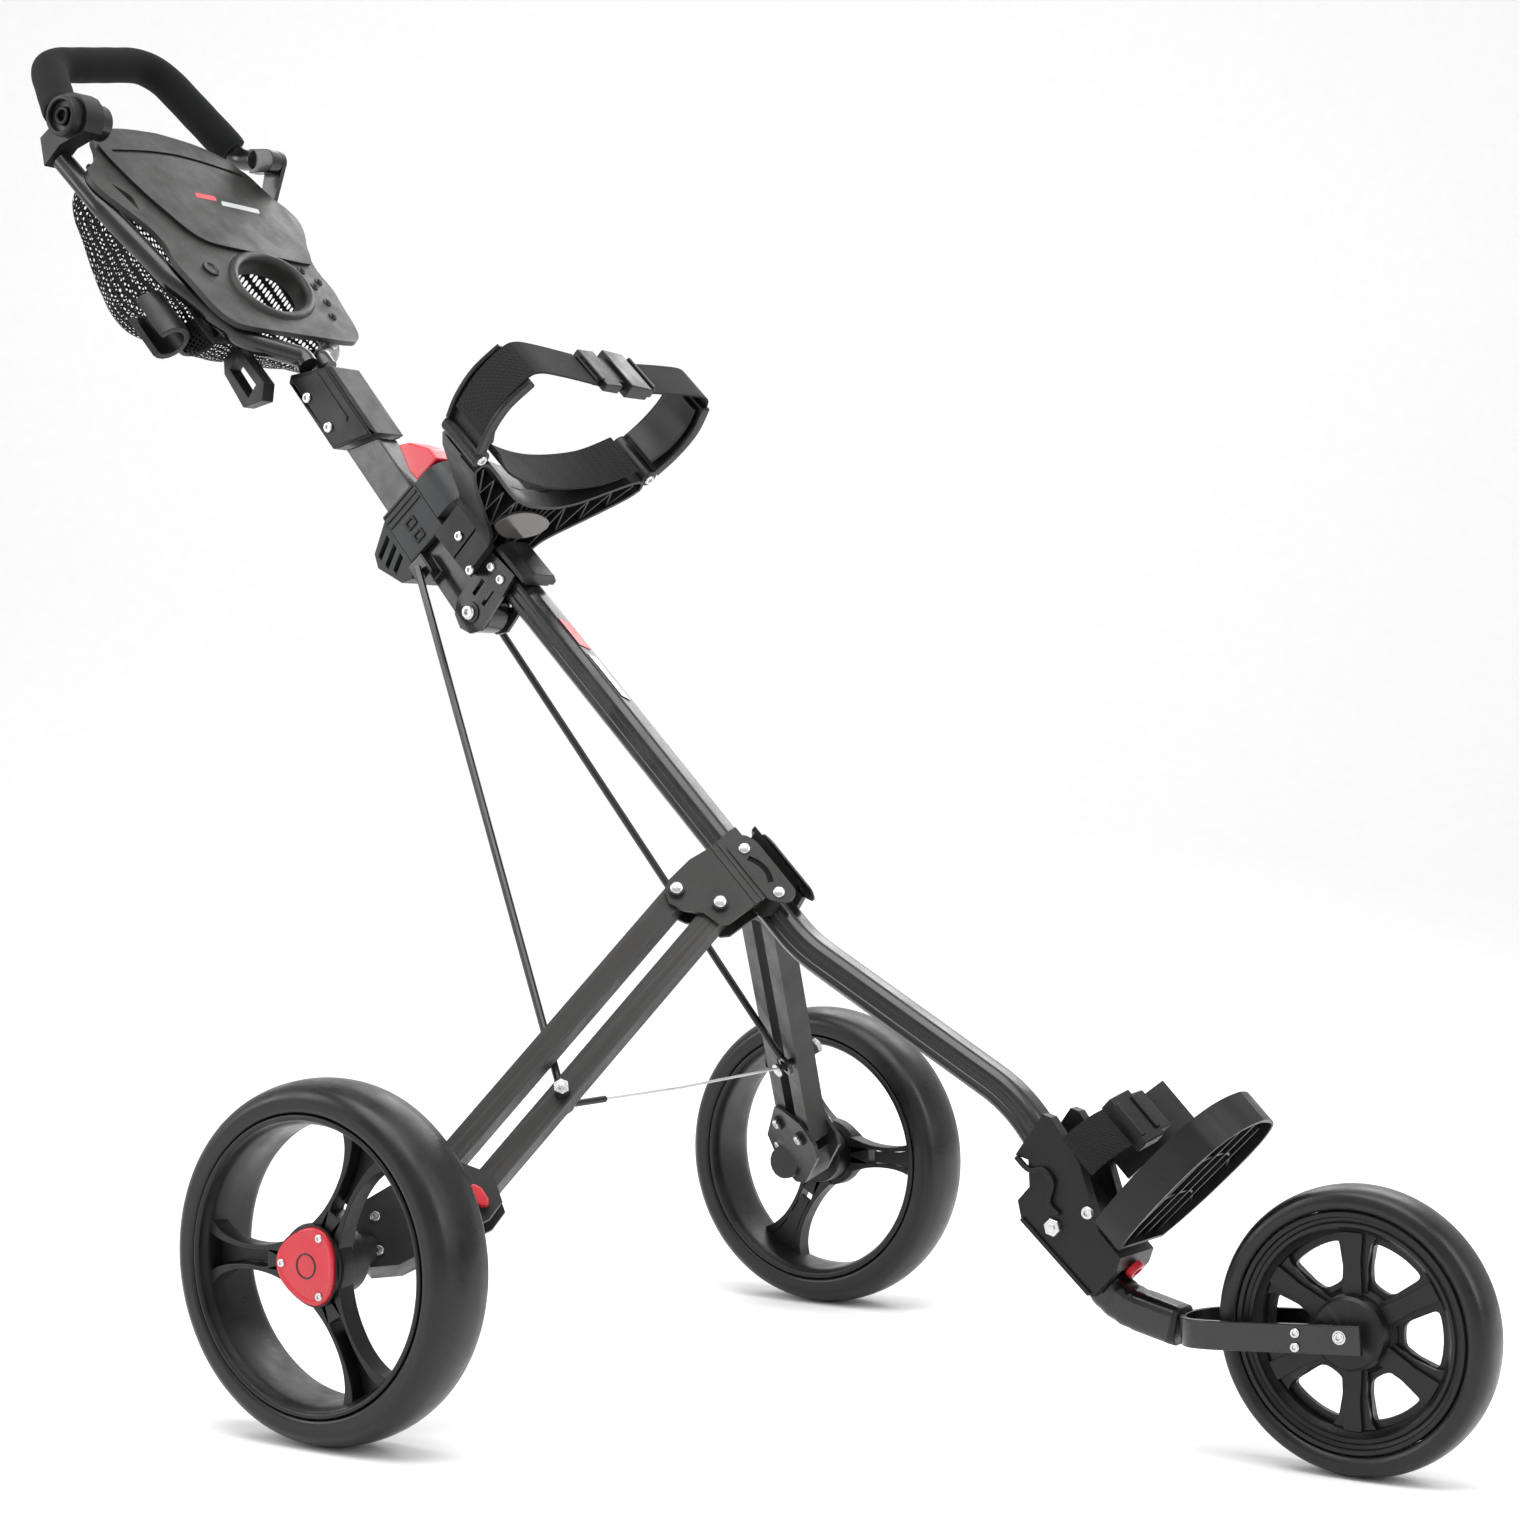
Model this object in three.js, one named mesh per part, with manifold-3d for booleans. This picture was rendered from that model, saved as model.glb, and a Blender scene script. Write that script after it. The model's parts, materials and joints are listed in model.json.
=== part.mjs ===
// Three-wheel golf push cart: folding stem, parallelogram rear legs, two bag cradles.
// Millimetres, +X forward (front wheel), +Y to the cart's left, +Z up, ground at Z = 0.
// Everything is laid out from the middle of the rear axle line, then centred over the origin.
import * as THREE from 'three';
import { mergeVertices } from 'three/addons/utils/BufferGeometryUtils.js';
import Module from 'manifold-3d';

// ---------- driving dimensions ----------
const GAP = 0.4;                      // clearance between pieces that touch or turn
const REAR_R = 135, REAR_W = 60;      // rear tyre radius and width
const TRACK = 337;                    // rear wheel centre to the middle plane
const RIM_R = 111;                    // rear rim outer radius
const BASE = 665;                     // rear axle to front axle
const FRONT_R = 103, FRONT_W = 42;    // front tyre radius and width
const FRONT_RIM = 86;                 // front rim outer radius
const TUBE_W = 27, TUBE_H = 26;       // main tube section
const LEG = 19;                       // leg tube section
const LEG_ANGLE = 73.5;               // leg against the main tube, degrees
const LEG_LEN = 303;                  // leg pin to leg pin
const LEG_PLANE = 280;                // leg plane distance along its normal
const PIN_R = 4;                      // leg pin radius
const ROD_R = 3.3;                    // stay rod radius
const SIDE_R = 9.5;                   // console side tube radius
const BAR_R = 10, GRIP_R = 16.5;      // handle bar and foam grip radii
const PIVOT = [-128, 625];            // stem fold pivot (X, Z)
const HANDLE_AXIS = [-480, 1062];     // handle hinge axis (X, Z)
const WEB_T = 2.4;                    // webbing thickness

const wasm = await Module();
wasm.setup();

const V = (x, y, z) => new THREE.Vector3(x, y, z);
const RAD = Math.PI / 180;
const COLORS = {
  frame: 0x1b1c1e, plastic: 0x242629, grey: 0x3d4043, tyre: 0x1a1a1b, red: 0xc81f2d,
  steel: 0xb9bcc0, foam: 0x161617, web: 0x17181a, net: 0x121213, panel: 0x2f2e2d,
};

// ---------- helpers ----------
function weld(g) {
  g.deleteAttribute('normal');
  g.deleteAttribute('uv');
  return mergeVertices(g, 1e-4);
}

function manifoldOf(geometry) {
  const g = weld(geometry.clone());
  return new wasm.Manifold(new wasm.Mesh({
    numProp: 3,
    vertProperties: new Float32Array(g.attributes.position.array),
    triVerts: new Uint32Array(g.index.array),
  }));
}

function geometryOf(solid) {
  const m = solid.getMesh();
  const g = new THREE.BufferGeometry();
  g.setAttribute('position', new THREE.BufferAttribute(new Float32Array(m.vertProperties), 3));
  g.setIndex(new THREE.BufferAttribute(new Uint32Array(m.triVerts), 1));
  return g;
}

function join(...geometries) {
  return geometryOf(geometries.map(manifoldOf).reduce((a, b) => a.add(b)));
}

function cut(base, ...tools) {
  return geometryOf(tools.map(manifoldOf).reduce((a, b) => a.subtract(b), manifoldOf(base)));
}

function wound(points, positive) {
  const v = points.map(([x, y]) => new THREE.Vector2(x, y));
  return THREE.ShapeUtils.area(v) > 0 === positive ? v : v.reverse();
}

function outline(points, holes = []) {
  const shape = new THREE.Shape(wound(points, true));
  shape.holes = holes.map((h) => new THREE.Path(wound(h, false)));
  return shape;
}

function ring(cx, cy, r, n = 16, ry = r, turn = 0) {
  const pts = [];
  for (let i = 0; i < n; i++) {
    const a = (i / n) * Math.PI * 2;
    const x = Math.cos(a) * r;
    const y = Math.sin(a) * ry;
    pts.push([cx + x * Math.cos(turn) - y * Math.sin(turn), cy + x * Math.sin(turn) + y * Math.cos(turn)]);
  }
  return pts;
}

// A flat plate: outline in the plane through `origin` spanned by ex, ey; thickness from a to b along ex x ey.
function plate(points, origin, ex, ey, a, b, holes = []) {
  const ez = ex.clone().cross(ey).normalize();
  const g = new THREE.ExtrudeGeometry(outline(points, holes), {
    depth: b - a, bevelEnabled: false, curveSegments: 6, steps: 1,
  });
  g.translate(0, 0, a);
  const m = new THREE.Matrix4().makeBasis(ex.clone().normalize(), ey.clone().normalize(), ez);
  m.setPosition(origin);
  return g.applyMatrix4(m);
}

// Outline in the side plane (X, Z), thickness between y0 and y1.
function side(points, y0, y1, holes = []) {
  return plate(points, V(0, 0, 0), V(1, 0, 0), V(0, 0, 1), -y1, -y0, holes);
}

function rod(p, q, r, n = 14) {
  const d = q.clone().sub(p);
  const g = weld(new THREE.CylinderGeometry(r, r, d.length(), n));
  g.applyQuaternion(new THREE.Quaternion().setFromUnitVectors(V(0, 1, 0), d.clone().normalize()));
  const c = p.clone().add(q).multiplyScalar(0.5);
  return g.translate(c.x, c.y, c.z);
}

// A section swept along a path; corners are rounded by radius.
function rounded(points, radius) {
  const path = new THREE.CurvePath();
  let start = points[0];
  for (let i = 1; i < points.length - 1; i++) {
    const a = points[i - 1];
    const p = points[i];
    const b = points[i + 1];
    const u = a.clone().sub(p).normalize();
    const w = b.clone().sub(p).normalize();
    const cut = Math.min(radius * Math.tan((Math.PI - u.angleTo(w)) / 2), a.distanceTo(p) * 0.48,
      b.distanceTo(p) * 0.48);
    const p0 = p.clone().addScaledVector(u, cut);
    const p1 = p.clone().addScaledVector(w, cut);
    path.add(new THREE.LineCurve3(start, p0));
    path.add(new THREE.QuadraticBezierCurve3(p0, p, p1));
    start = p1;
  }
  path.add(new THREE.LineCurve3(start, points[points.length - 1]));
  return path;
}

function pathPoints(path, perBend = 5) {
  const pts = [];
  for (const c of path.curves) {
    const n = c.isLineCurve3 ? 1 : perBend;
    for (let i = 0; i <= n; i++) {
      const p = c.getPoint(i / n);
      if (!pts.length || pts[pts.length - 1].distanceTo(p) > 0.5) pts.push(p);
    }
  }
  return pts;
}

class Poly extends THREE.Curve {
  constructor(points) {
    super();
    this.points = points;
  }

  getPoint(t) {
    const n = this.points.length - 1;
    const i = Math.min(Math.floor(t * n + 1e-9), n - 1);
    return this.points[i].clone().lerp(this.points[i + 1], t * n - i);
  }

  getPointAt(t) {
    return this.getPoint(t);
  }

  getTangentAt(t) {
    return this.getTangent(t);
  }

  getTangent(t) {
    const n = this.points.length - 1;
    const k = Math.round(t * n);
    const a = this.points[Math.max(k - 1, 0)];
    const b = this.points[k];
    const c = this.points[Math.min(k + 1, n)];
    const u = b.clone().sub(a).normalize();
    const w = c.clone().sub(b).normalize();
    return u.add(w).normalize();
  }
}

function sweep(points, radius, section, perBend = 5) {
  const pts = pathPoints(rounded(points, radius), perBend);
  return new THREE.ExtrudeGeometry(section, {
    steps: pts.length - 1, extrudePath: new Poly(pts), bevelEnabled: false, curveSegments: 1,
  });
}

const circle = (r, n = 12) => outline(ring(0, 0, r, n));
const annulus = (r, inner, n = 14) => outline(ring(0, 0, r, n), [ring(0, 0, inner, n)]);

function lathe(profile, n, origin, axis = V(0, 1, 0)) {
  const g = weld(new THREE.LatheGeometry(profile.map(([r, h]) => new THREE.Vector2(r, h)), n));
  g.applyQuaternion(new THREE.Quaternion().setFromUnitVectors(V(0, 1, 0), axis));
  return g.translate(origin.x, origin.y, origin.z);
}

function arcPoints(cx, cy, r, from, to, n) {
  const pts = [];
  for (let i = 0; i <= n; i++) {
    const a = (from + ((to - from) * i) / n) * RAD;
    pts.push([cx + r * Math.cos(a), cy + r * Math.sin(a)]);
  }
  return pts;
}

// A constant-thickness band following a centre line in a plane.
function band(line, t) {
  const left = [];
  const right = [];
  line.forEach(([x, y], i) => {
    const a = line[Math.max(i - 1, 0)];
    const b = line[Math.min(i + 1, line.length - 1)];
    const dx = b[0] - a[0];
    const dy = b[1] - a[1];
    const l = Math.hypot(dx, dy);
    left.push([x - (dy / l) * t / 2, y + (dx / l) * t / 2]);
    right.unshift([x + (dy / l) * t / 2, y - (dx / l) * t / 2]);
  });
  return left.concat(right);
}

function smooth(points, n) {
  const c = new THREE.CatmullRomCurve3(points.map(([x, y]) => V(x, y, 0)), false, 'centripetal');
  return c.getPoints(n).map((p) => [p.x, p.y]);
}

const parts = [];
function part(name, geometry, color) {
  parts.push([name, geometry, color]);
}

// ---------- shared directions ----------
const T = V(Math.SQRT1_2, 0, -Math.SQRT1_2);            // down along the main tube
const U = V(Math.SQRT1_2, 0, Math.SQRT1_2);             // square to the tube, up and forward
const legNormal = (s) => V(0.4801, 0.7342 * s, 0.4801).normalize();
const legDown = (s) => T.clone().cross(legNormal(s)).multiplyScalar(-s).normalize();
// A point of the leg plane from its along-tube, down-leg and outward coordinates.
function legPoint(s, t, m, n) {
  return V(0, 0, 0).addScaledVector(T, t).addScaledVector(legDown(s), m).addScaledVector(legNormal(s), n);
}
const SIDES = [['right', -1], ['left', 1]];
const UP_PIN = [-200, -226.5];
const LOW_PIN = [-170, -247.3];
const LEG_DIR = [Math.cos(LEG_ANGLE * RAD), Math.sin(LEG_ANGLE * RAD)];
const onLeg = (pin, d) => [pin[0] + LEG_DIR[0] * d, pin[1] + LEG_DIR[1] * d];
const ROD_AT = 197;                   // stud position down the lower leg
const STUD_R = 3.2;                   // stay rod stud radius

// ---------- main tube ----------
const section = outline([
  [-9, 17], [-15.5, 11], [-15.5, 4], [-13.5, 3], [-13.5, -3], [-15.5, -4], [-15.5, -11], [-9, -17],
  [9, -17], [15.5, -11], [15.5, -4], [13.5, -3], [13.5, 3], [15.5, 4], [15.5, 11], [9, 17],
].map(([x, y]) => [x * TUBE_W / 31, y * TUBE_H / 34]));
const tubeLine = [V(-134, 0, 690), V(198, 0, 355), V(390, 0, 247), V(422, 0, 206)];
part('main_tube', sweep(tubeLine, 130, section, 6), COLORS.frame);

const elbowSection = outline([
  [-8, 13], [-12.5, 8.5], [-12.5, -8.5], [-8, -13], [8, -13], [12.5, -8.5], [12.5, 8.5], [8, 13],
]);
part('front_elbow', sweep([V(434, 0, 171), V(470, 0, 104), V(524, 0, 91.5)], 60, elbowSection, 7),
  COLORS.frame);

// ---------- front fork, axle and wheel ----------
const FORK_TILT = 4.4 * RAD;
const forkX = V(Math.cos(FORK_TILT), 0, Math.sin(FORK_TILT));
const forkOuter = [[0, -14], [10, -26], [24, -33], [40, -34.5], [150, -34.5], [150, 34.5], [40, 34.5],
  [24, 33], [10, 26], [0, 14]];
const forkInner = [[151, 29.5], [41, 29.5], [27, 28], [15, 22], [6, 12], [6, -12], [15, -22], [27, -28],
  [41, -29.5], [151, -29.5]];
const forkPlate = plate([...forkOuter.slice(0, 5), ...forkInner.slice().reverse(), ...forkOuter.slice(5)],
  V(530, 0, 90.5), forkX, V(0, 1, 0), -10.5, 10.5);
const frontHub = V(BASE, 0, FRONT_R);
part('fork', cut(forkPlate, rod(V(BASE, -50, FRONT_R), V(BASE, 50, FRONT_R), 5 + GAP, 16)), COLORS.frame);
part('front_axle', join(rod(V(BASE, -36, FRONT_R), V(BASE, 36, FRONT_R), 5, 14),
  rod(V(BASE, -41, FRONT_R), V(BASE, -35, FRONT_R), 8, 6),
  rod(V(BASE, 35, FRONT_R), V(BASE, 41, FRONT_R), 8, 6)), COLORS.steel);

const frontTyre = [[FRONT_RIM + GAP, -17], [93, -FRONT_W / 2], [100, -16.5], [FRONT_R, -5], [FRONT_R, 5],
  [100, 16.5], [93, FRONT_W / 2], [FRONT_RIM + GAP, 17], [FRONT_RIM + GAP, -17]];
part('front_tyre', lathe(frontTyre, 40, frontHub), COLORS.tyre);
const frontRing = [[70, -14], [76, -18], [FRONT_RIM, -17], [FRONT_RIM, 17], [76, 18], [70, 14], [70, -14]];
const windows = [];
for (let i = 0; i < 6; i++) {
  const a = i * 60;
  windows.push([...arcPoints(0, 0, 66, a - 18, a + 18, 3), ...arcPoints(0, 0, 36, a + 10, a - 10, 1)]);
}
const web = plate(ring(0, 0, 72, 36), frontHub, V(1, 0, 0), V(0, 0, 1), -7, 7, windows);
const frontHubBody = rod(V(BASE, -24, FRONT_R), V(BASE, 24, FRONT_R), 26, 24);
const frontBore = rod(V(BASE, -40, FRONT_R), V(BASE, 40, FRONT_R), 5 + GAP, 16);
part('front_rim', cut(join(lathe(frontRing, 36, frontHub), web, frontHubBody), frontBore), COLORS.plastic);

// ---------- rear wheels, carriers, legs, wing plates, stay rods ----------
const rearTyre = [[RIM_R + GAP, -27], [117, -29.8], [125, -REAR_W / 2 + 1], [131.5, -20.5], [REAR_R, -6],
  [REAR_R, 6], [131.5, 20.5], [125, REAR_W / 2 - 1], [117, 29.8], [RIM_R + GAP, 27], [RIM_R + GAP, -27]];
const rearBarrel = [[106, -29], [RIM_R, -28.5], [RIM_R, 28.5], [106, 29], [103, 24], [103, -24], [106, -29]];

const spokeHalf = [[14, 20], [34, 15], [62, 11.5], [88, 14.5], [105, 25]];
const spokePts = [...spokeHalf.map(([x, y]) => [x, -y]), ...spokeHalf.slice().reverse()];
const spokeHole = [[44, -4], [64, -4.5], [88, -6.5], [99, -9], [99, 9], [88, 6.5], [64, 4.5], [44, 4]];

for (const [name, s] of SIDES) {
  const hub = V(0, s * TRACK, REAR_R);
  part(`rear_tyre_${name}`, lathe(rearTyre, 44, hub), COLORS.tyre);
  const solids = [lathe(rearBarrel, 44, hub)];
  for (let i = 0; i < 3; i++) {
    const a = ((s < 0 ? 180 : 0) + i * 120) * RAD;
    const ex = V(Math.cos(a), 0, Math.sin(a));
    const ey = V(-Math.sin(a), 0, Math.cos(a));
    // ex x ey points to -Y, so the spoke stands from the inner face to the outer one
    const lo = s < 0 ? 2 : -22;
    solids.push(plate(spokePts, hub, ex, ey, lo, lo + 20, [spokeHole]));
  }
  solids.push(rod(V(0, s * (TRACK - 14), REAR_R), V(0, s * (TRACK + 22), REAR_R), 25, 26));
  const bore = rod(V(0, s * (TRACK - 40), REAR_R), V(0, s * (TRACK + 14), REAR_R), 7 + GAP, 16);
  part(`rear_rim_${name}`, cut(join(...solids), bore), COLORS.plastic);
  // three-lobed cap on the outer end of the hub
  const cap = [];
  for (let i = 0; i < 36; i++) {
    const a = i * 10 * RAD;
    const r = 28.5 + 2 * Math.cos(3 * (a - (s < 0 ? 180 : 0) * RAD));
    cap.push([r * Math.cos(a), r * Math.sin(a)]);
  }
  const capY = TRACK + 22 + GAP;
  const [c0, c1] = s < 0 ? [-capY - 5, -capY] : [capY, capY + 5];
  part(`hub_cap_${name}`, side(cap.map(([x, z]) => [x, z + REAR_R]), c0, c1), COLORS.red);

  // wheel carrier: clevis over both leg ends, core block and axle housing
  const N = legNormal(s);
  const M = legDown(s);
  // plate() extrudes along ex x ey; pick the order that makes it the outward normal
  const [ex, ey, flip] = s < 0 ? [M, T, true] : [T, M, false];
  const inPlane = (list) => (flip ? list.map(([t, m]) => [m, t]) : list);
  const legPlate = (list, a, b, holes = []) => plate(inPlane(list), V(0, 0, 0), ex, ey,
    LEG_PLANE + a, LEG_PLANE + b, holes.map(inPlane));
  const upEnd = onLeg(UP_PIN, LEG_LEN);
  const lowEnd = onLeg(LOW_PIN, LEG_LEN);
  const cheek = [[-124, 50], [-116, 40], [-88, 22], [-66, 28], [-60, 44], [-70, 118], [-82, 138],
    [-108, 142], [-128, 118]];
  const core = [[-126, 84], [-104, 82], [-96, 64], [-72, 62], [-66, 84], [-70, 118], [-82, 138],
    [-108, 142], [-128, 118]];
  const pinAt = (p, a, b, r = PIN_R) => rod(legPoint(s, p[0], p[1], LEG_PLANE + a),
    legPoint(s, p[0], p[1], LEG_PLANE + b), r, 10);
  const carrier = join(
    legPlate(cheek, -13, -10), legPlate(cheek, 10, 13), legPlate(core, -13, 13),
    pinAt(upEnd, -15, 15), pinAt(lowEnd, -15, 15), pinAt(upEnd, -16.5, -12, 6.5),
    pinAt(lowEnd, -16.5, -12, 6.5), pinAt(upEnd, 12, 16.5, 6.5), pinAt(lowEnd, 12, 16.5, 6.5),
    rod(V(0, s * 268, REAR_R), V(0, s * (TRACK - 15), REAR_R), 15, 18),
    rod(V(0, s * 300, REAR_R), V(0, s * (TRACK + 12), REAR_R), 7, 14),
  );
  part(`wheel_carrier_${name}`, carrier, COLORS.plastic);

  if (s < 0) {
    const lever = [[-87, 39], [-81, 36], [-70, 36.5], [-67, 39.5], [-69, 44], [-80, 48.5], [-87, 46.5]];
    part('brake_lever', legPlate(lever, 16.5 + GAP, 23), COLORS.red);
  }

  // legs: square tubes with a hole at each pin
  const legShape = (pin) => {
    const [dx, dy] = LEG_DIR;
    const h = LEG / 2;
    const a0 = Math.atan2(dy, dx) / RAD;
    const far = onLeg(pin, LEG_LEN);
    const pts = [...arcPoints(far[0], far[1], h, a0 - 90, a0 + 90, 5),
      ...arcPoints(pin[0], pin[1], h, a0 + 90, a0 + 270, 5)];
    return [pts, [ring(pin[0], pin[1], PIN_R + GAP, 12), ring(far[0], far[1], PIN_R + GAP, 12)]];
  };
  const [upPts, upHoles] = legShape(UP_PIN);
  part(`leg_upper_${name}`, legPlate(upPts, -LEG / 2, LEG / 2, upHoles), COLORS.frame);
  const rodPin = onLeg(LOW_PIN, ROD_AT);
  const [lowPts, lowHoles] = legShape(LOW_PIN);
  const lowLeg = legPlate(lowPts, -LEG / 2, LEG / 2, lowHoles);
  // stud that carries the lower end of the stay rod, and the outer nut
  const stud = pinAt(rodPin, -22, 0, STUD_R);
  const studHead = pinAt(rodPin, -24, -22, 6);
  const nut = pinAt(rodPin, 5, 16, 6);
  part(`leg_lower_${name}`, join(lowLeg, stud, studHead, nut), COLORS.frame);

  // wing plate: folded sheet on the tube side, flaring out over the leg ends
  const wing = [[-218, -290], [-215, -270], [-216, -250], [-213, -236], [-211, -226], [-205, -218],
    [-194, -215], [-182, -221], [-171, -232], [-156, -236], [-152, -243], [-153, -262], [-153, -300],
    [-156, -313], [-218, -313]];
  const wingOut = legPlate(wing, 10, 13);
  const wingIn = legPlate(wing.filter(([, m]) => m > -280).concat([[-153, -279], [-214, -279]]), -13, -10);
  const flange = plate([[-217, 386], [-148, 386], [-143, 394], [-146, 409], [-198, 409], [-217, 402]],
    V(0, 0, 0), T, U, s < 0 ? TUBE_W / 2 : -20, s < 0 ? 20 : -TUBE_W / 2);
  const bridge = legPlate([[-214, -300], [-156, -300], [-156, -270], [-214, -270]], -13, 13);
  const pins = [pinAt(UP_PIN, -15, 15), pinAt(LOW_PIN, -15, 15), pinAt(UP_PIN, 12, 16.5, 6.5),
    pinAt(LOW_PIN, 12, 16.5, 6.5)];
  // the sheet stops short of the tube's side
  const beside = TUBE_W / 2 + GAP;
  const tubeRoom = plate([[-300, 340], [-100, 340], [-100, 460], [-300, 460]], V(0, 0, 0), T, U,
    s < 0 ? -60 : -beside, s < 0 ? beside : 60);
  part(`wing_plate_${name}`, cut(join(wingOut, wingIn, flange, bridge, ...pins), tubeRoom), COLORS.frame);

  // stay rod: eye on the stud, straight rod up to the stem
  const eye = legPoint(s, rodPin[0], rodPin[1], LEG_PLANE - 15);
  const top = V(-178, s * 29, 664);
  const dir = top.clone().sub(eye).normalize();
  // the eye is bored wide, because it rocks on the stud as the stem folds
  const eyeRing = cut(pinAt(rodPin, -16.8, -13.2, 9), pinAt(rodPin, -24, -5, STUD_R + 2.4));
  part(`stay_rod_${name}`, join(rod(eye.clone().addScaledVector(dir, 7), top, ROD_R, 10), eyeRing),
    COLORS.frame);
}

// spread-limiting cable between the two lower legs, with a stiff sleeve at its right end
const cableEnd = (s) => V(75, s * 144, 236);
part('spread_cable', join(rod(cableEnd(-1), V(76, -100, 233), 2.8, 8),
  rod(V(76, -101, 233), cableEnd(1), 1.2, 6)), COLORS.steel);

// ---------- lower cradle ----------
const lowPlate = [[426, 241], [403, 209], [414, 206], [415, 186], [405, 175], [408, 162], [468, 109],
  [487, 129], [491, 140], [473, 158], [457, 207], [433, 239]];
const wingLow = plate(band(smooth([[24, 468], [30, 488], [40, 510], [53, 528]], 6), 4),
  V(0, 0, 0), V(0, 1, 0), U, 158, 199);
const lowBody = join(
  side(lowPlate, -27, -17), side(lowPlate, 17, 27), wingLow,
  side([[446, 190], [473, 158], [491, 140], [487, 129], [475, 136], [462, 156], [449, 178]], -27, 27),
);
part('lower_bracket', lowBody, COLORS.plastic);

// tray: tongue-shaped shelf square to the bag, with a rim and ribs under it
const trayHalf = [[0, 30], [14, 40], [60, 50], [105, 52], [128, 47], [144, 36], [154, 18], [157, 0]];
const trayInner = [[3, 27], [14, 36.5], [60, 46.5], [104, 48.5], [126, 43.7], [141, 33.5], [150.5, 16.8],
  [153.5, 0]];
const loop = (half) => [...half.map(([u, y]) => [u, -y]),
  ...half.slice(0, -1).reverse().map(([u, y]) => [u, y])];
const trayLoop = loop(trayHalf);
const trayHole = loop(trayInner);
const TRAY_O = V(478, 0, 139);
const trayShelf = plate(trayLoop, TRAY_O, U, V(0, 1, 0), 10, 13);
const trayRim = plate(trayLoop, TRAY_O, U, V(0, 1, 0), -5, 22, [trayHole]);
const trayRibs = [-24, 0, 24].map((y) => plate([[2, y - 1.2], [148, y - 1.2], [148, y + 1.2], [2, y + 1.2]],
  TRAY_O, U, V(0, 1, 0), -2, 11));
part('lower_tray', cut(join(trayShelf, trayRim, ...trayRibs), side([[440, 190], [473.5, 158.5],
  [491.6, 140], [487.4, 128.4], [470, 100], [400, 120]], -60, 60)), COLORS.plastic);

const strapLow = (line, y) => plate(band(smooth(line, 6), WEB_T), V(0, 0, 0), V(0, 1, 0), U, y, y + 36);
part('lower_strap_right', strapLow([[-33, 474], [-31, 486], [-21, 498], [-10, 503.5]], 156), COLORS.web);
part('lower_buckle', plate([[-6, 500], [24, 513], [26, 524], [12, 523], [-8, 513]],
  V(0, 0, 0), V(0, 1, 0), U, 153, 198), COLORS.plastic);

// ---------- hinge at the top of the main tube ----------
const hingePts = [[-142, 636], [-145, 624], [-139, 612], [-128, 607], [-117, 609], [-96, 634], [-80, 655],
  [-112, 682], [-120, 670], [-126, 655]];
const slotAt = (x, z) => [[-8, -2], [8, -2], [8, 2], [-8, 2]].map(([p, q]) => [x + p * 0.66 - q * 0.75,
  z + p * 0.75 + q * 0.66]);
for (const [name, s] of SIDES) {
  const [y0, y1] = s < 0 ? [-19.5, -16] : [16, 19.5];
  part(`hinge_plate_${name}`, side(hingePts, y0, y1, [ring(PIVOT[0], PIVOT[1], 5 + GAP, 14),
    slotAt(-119, 646), slotAt(-109, 637)]), COLORS.frame);
}
const atPivot = (y) => V(PIVOT[0], y, PIVOT[1]);
part('fold_pin', join(rod(atPivot(-23), atPivot(23), 5, 14), rod(atPivot(-26), atPivot(-20), 8.5, 14),
  rod(atPivot(20), atPivot(26), 8.5, 6)), COLORS.steel);
const acrossTube = (points, t0, t1) => plate(points, V(0, 0, 0), V(0, 1, 0), U, t0, t1);
const mirrored = (half) => [...half, ...half.slice().reverse().map(([y, u]) => [-y, u])];
part('tube_collar', acrossTube(mirrored([[13, 419], [21, 413], [21, 408.4], [15, 408.4], [15, 406.8]]),
  -549, -508), COLORS.plastic);

// ---------- upper bag cradle ----------
const CR0 = -600, CR1 = -551;         // cradle width along the tube
part('cradle_base', acrossTube(mirrored([[0.01, 456], [40, 463], [100, 493], [112, 486], [102, 474],
  [72, 450], [38, 424], [30, 412], [30, 377], [20.2, 377], [20.2, 407]]), CR0, CR1), COLORS.plastic);
part('cradle_liner', acrossTube(band(smooth([[-95, 504], [-60, 484], [0, 475], [60, 484], [95, 504]], 14),
  WEB_T), CR0 + 3, CR1 - 3), COLORS.web);
for (const [name, s] of SIDES) {
  const arm = smooth([[116, 504], [124, 526], [126, 552], [117, 578]], 8).map(([y, u]) => [s * y, u]);
  const barrel = rod(V(0, s * 114, 0).addScaledVector(U, 498).addScaledVector(T, CR0 + 1),
    V(0, s * 114, 0).addScaledVector(U, 498).addScaledVector(T, CR1 - 1), 8, 16);
  part(`cradle_arm_${name}`, join(acrossTube(band(arm, 5), CR0 + 1, CR1 - 1), barrel), COLORS.plastic);
  const pad = smooth([[108, 512], [118.5, 530], [120.5, 552], [113.5, 573]], 8).map(([y, u]) => [s * y, u]);
  part(`arm_pad_${name}`, acrossTube(band(pad, 3.5), CR0 + 5, CR1 - 5), COLORS.grey);
  const inner = s < 0 ? 37 : 41;
  const strap = smooth([[127, 518], [130, 534], [131, 554], [124, 579], [113, 587], [84, 587],
    [inner, 584]], 14).map(([y, u]) => [s * y, u]);
  part(`cradle_strap_${name}`, acrossTube(band(strap, WEB_T), CR0 + 6, CR1 - 5), COLORS.web);
}
part('buckle_plug', acrossTube([[-36, 579], [2, 578], [2, 589], [-36, 589]], CR0 + 2, CR1 - 1),
  COLORS.plastic);
part('buckle_socket', acrossTube([[2.6, 577], [40, 579], [40, 589], [2.6, 591]], CR0 + 2, CR1 - 1),
  COLORS.plastic);

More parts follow.
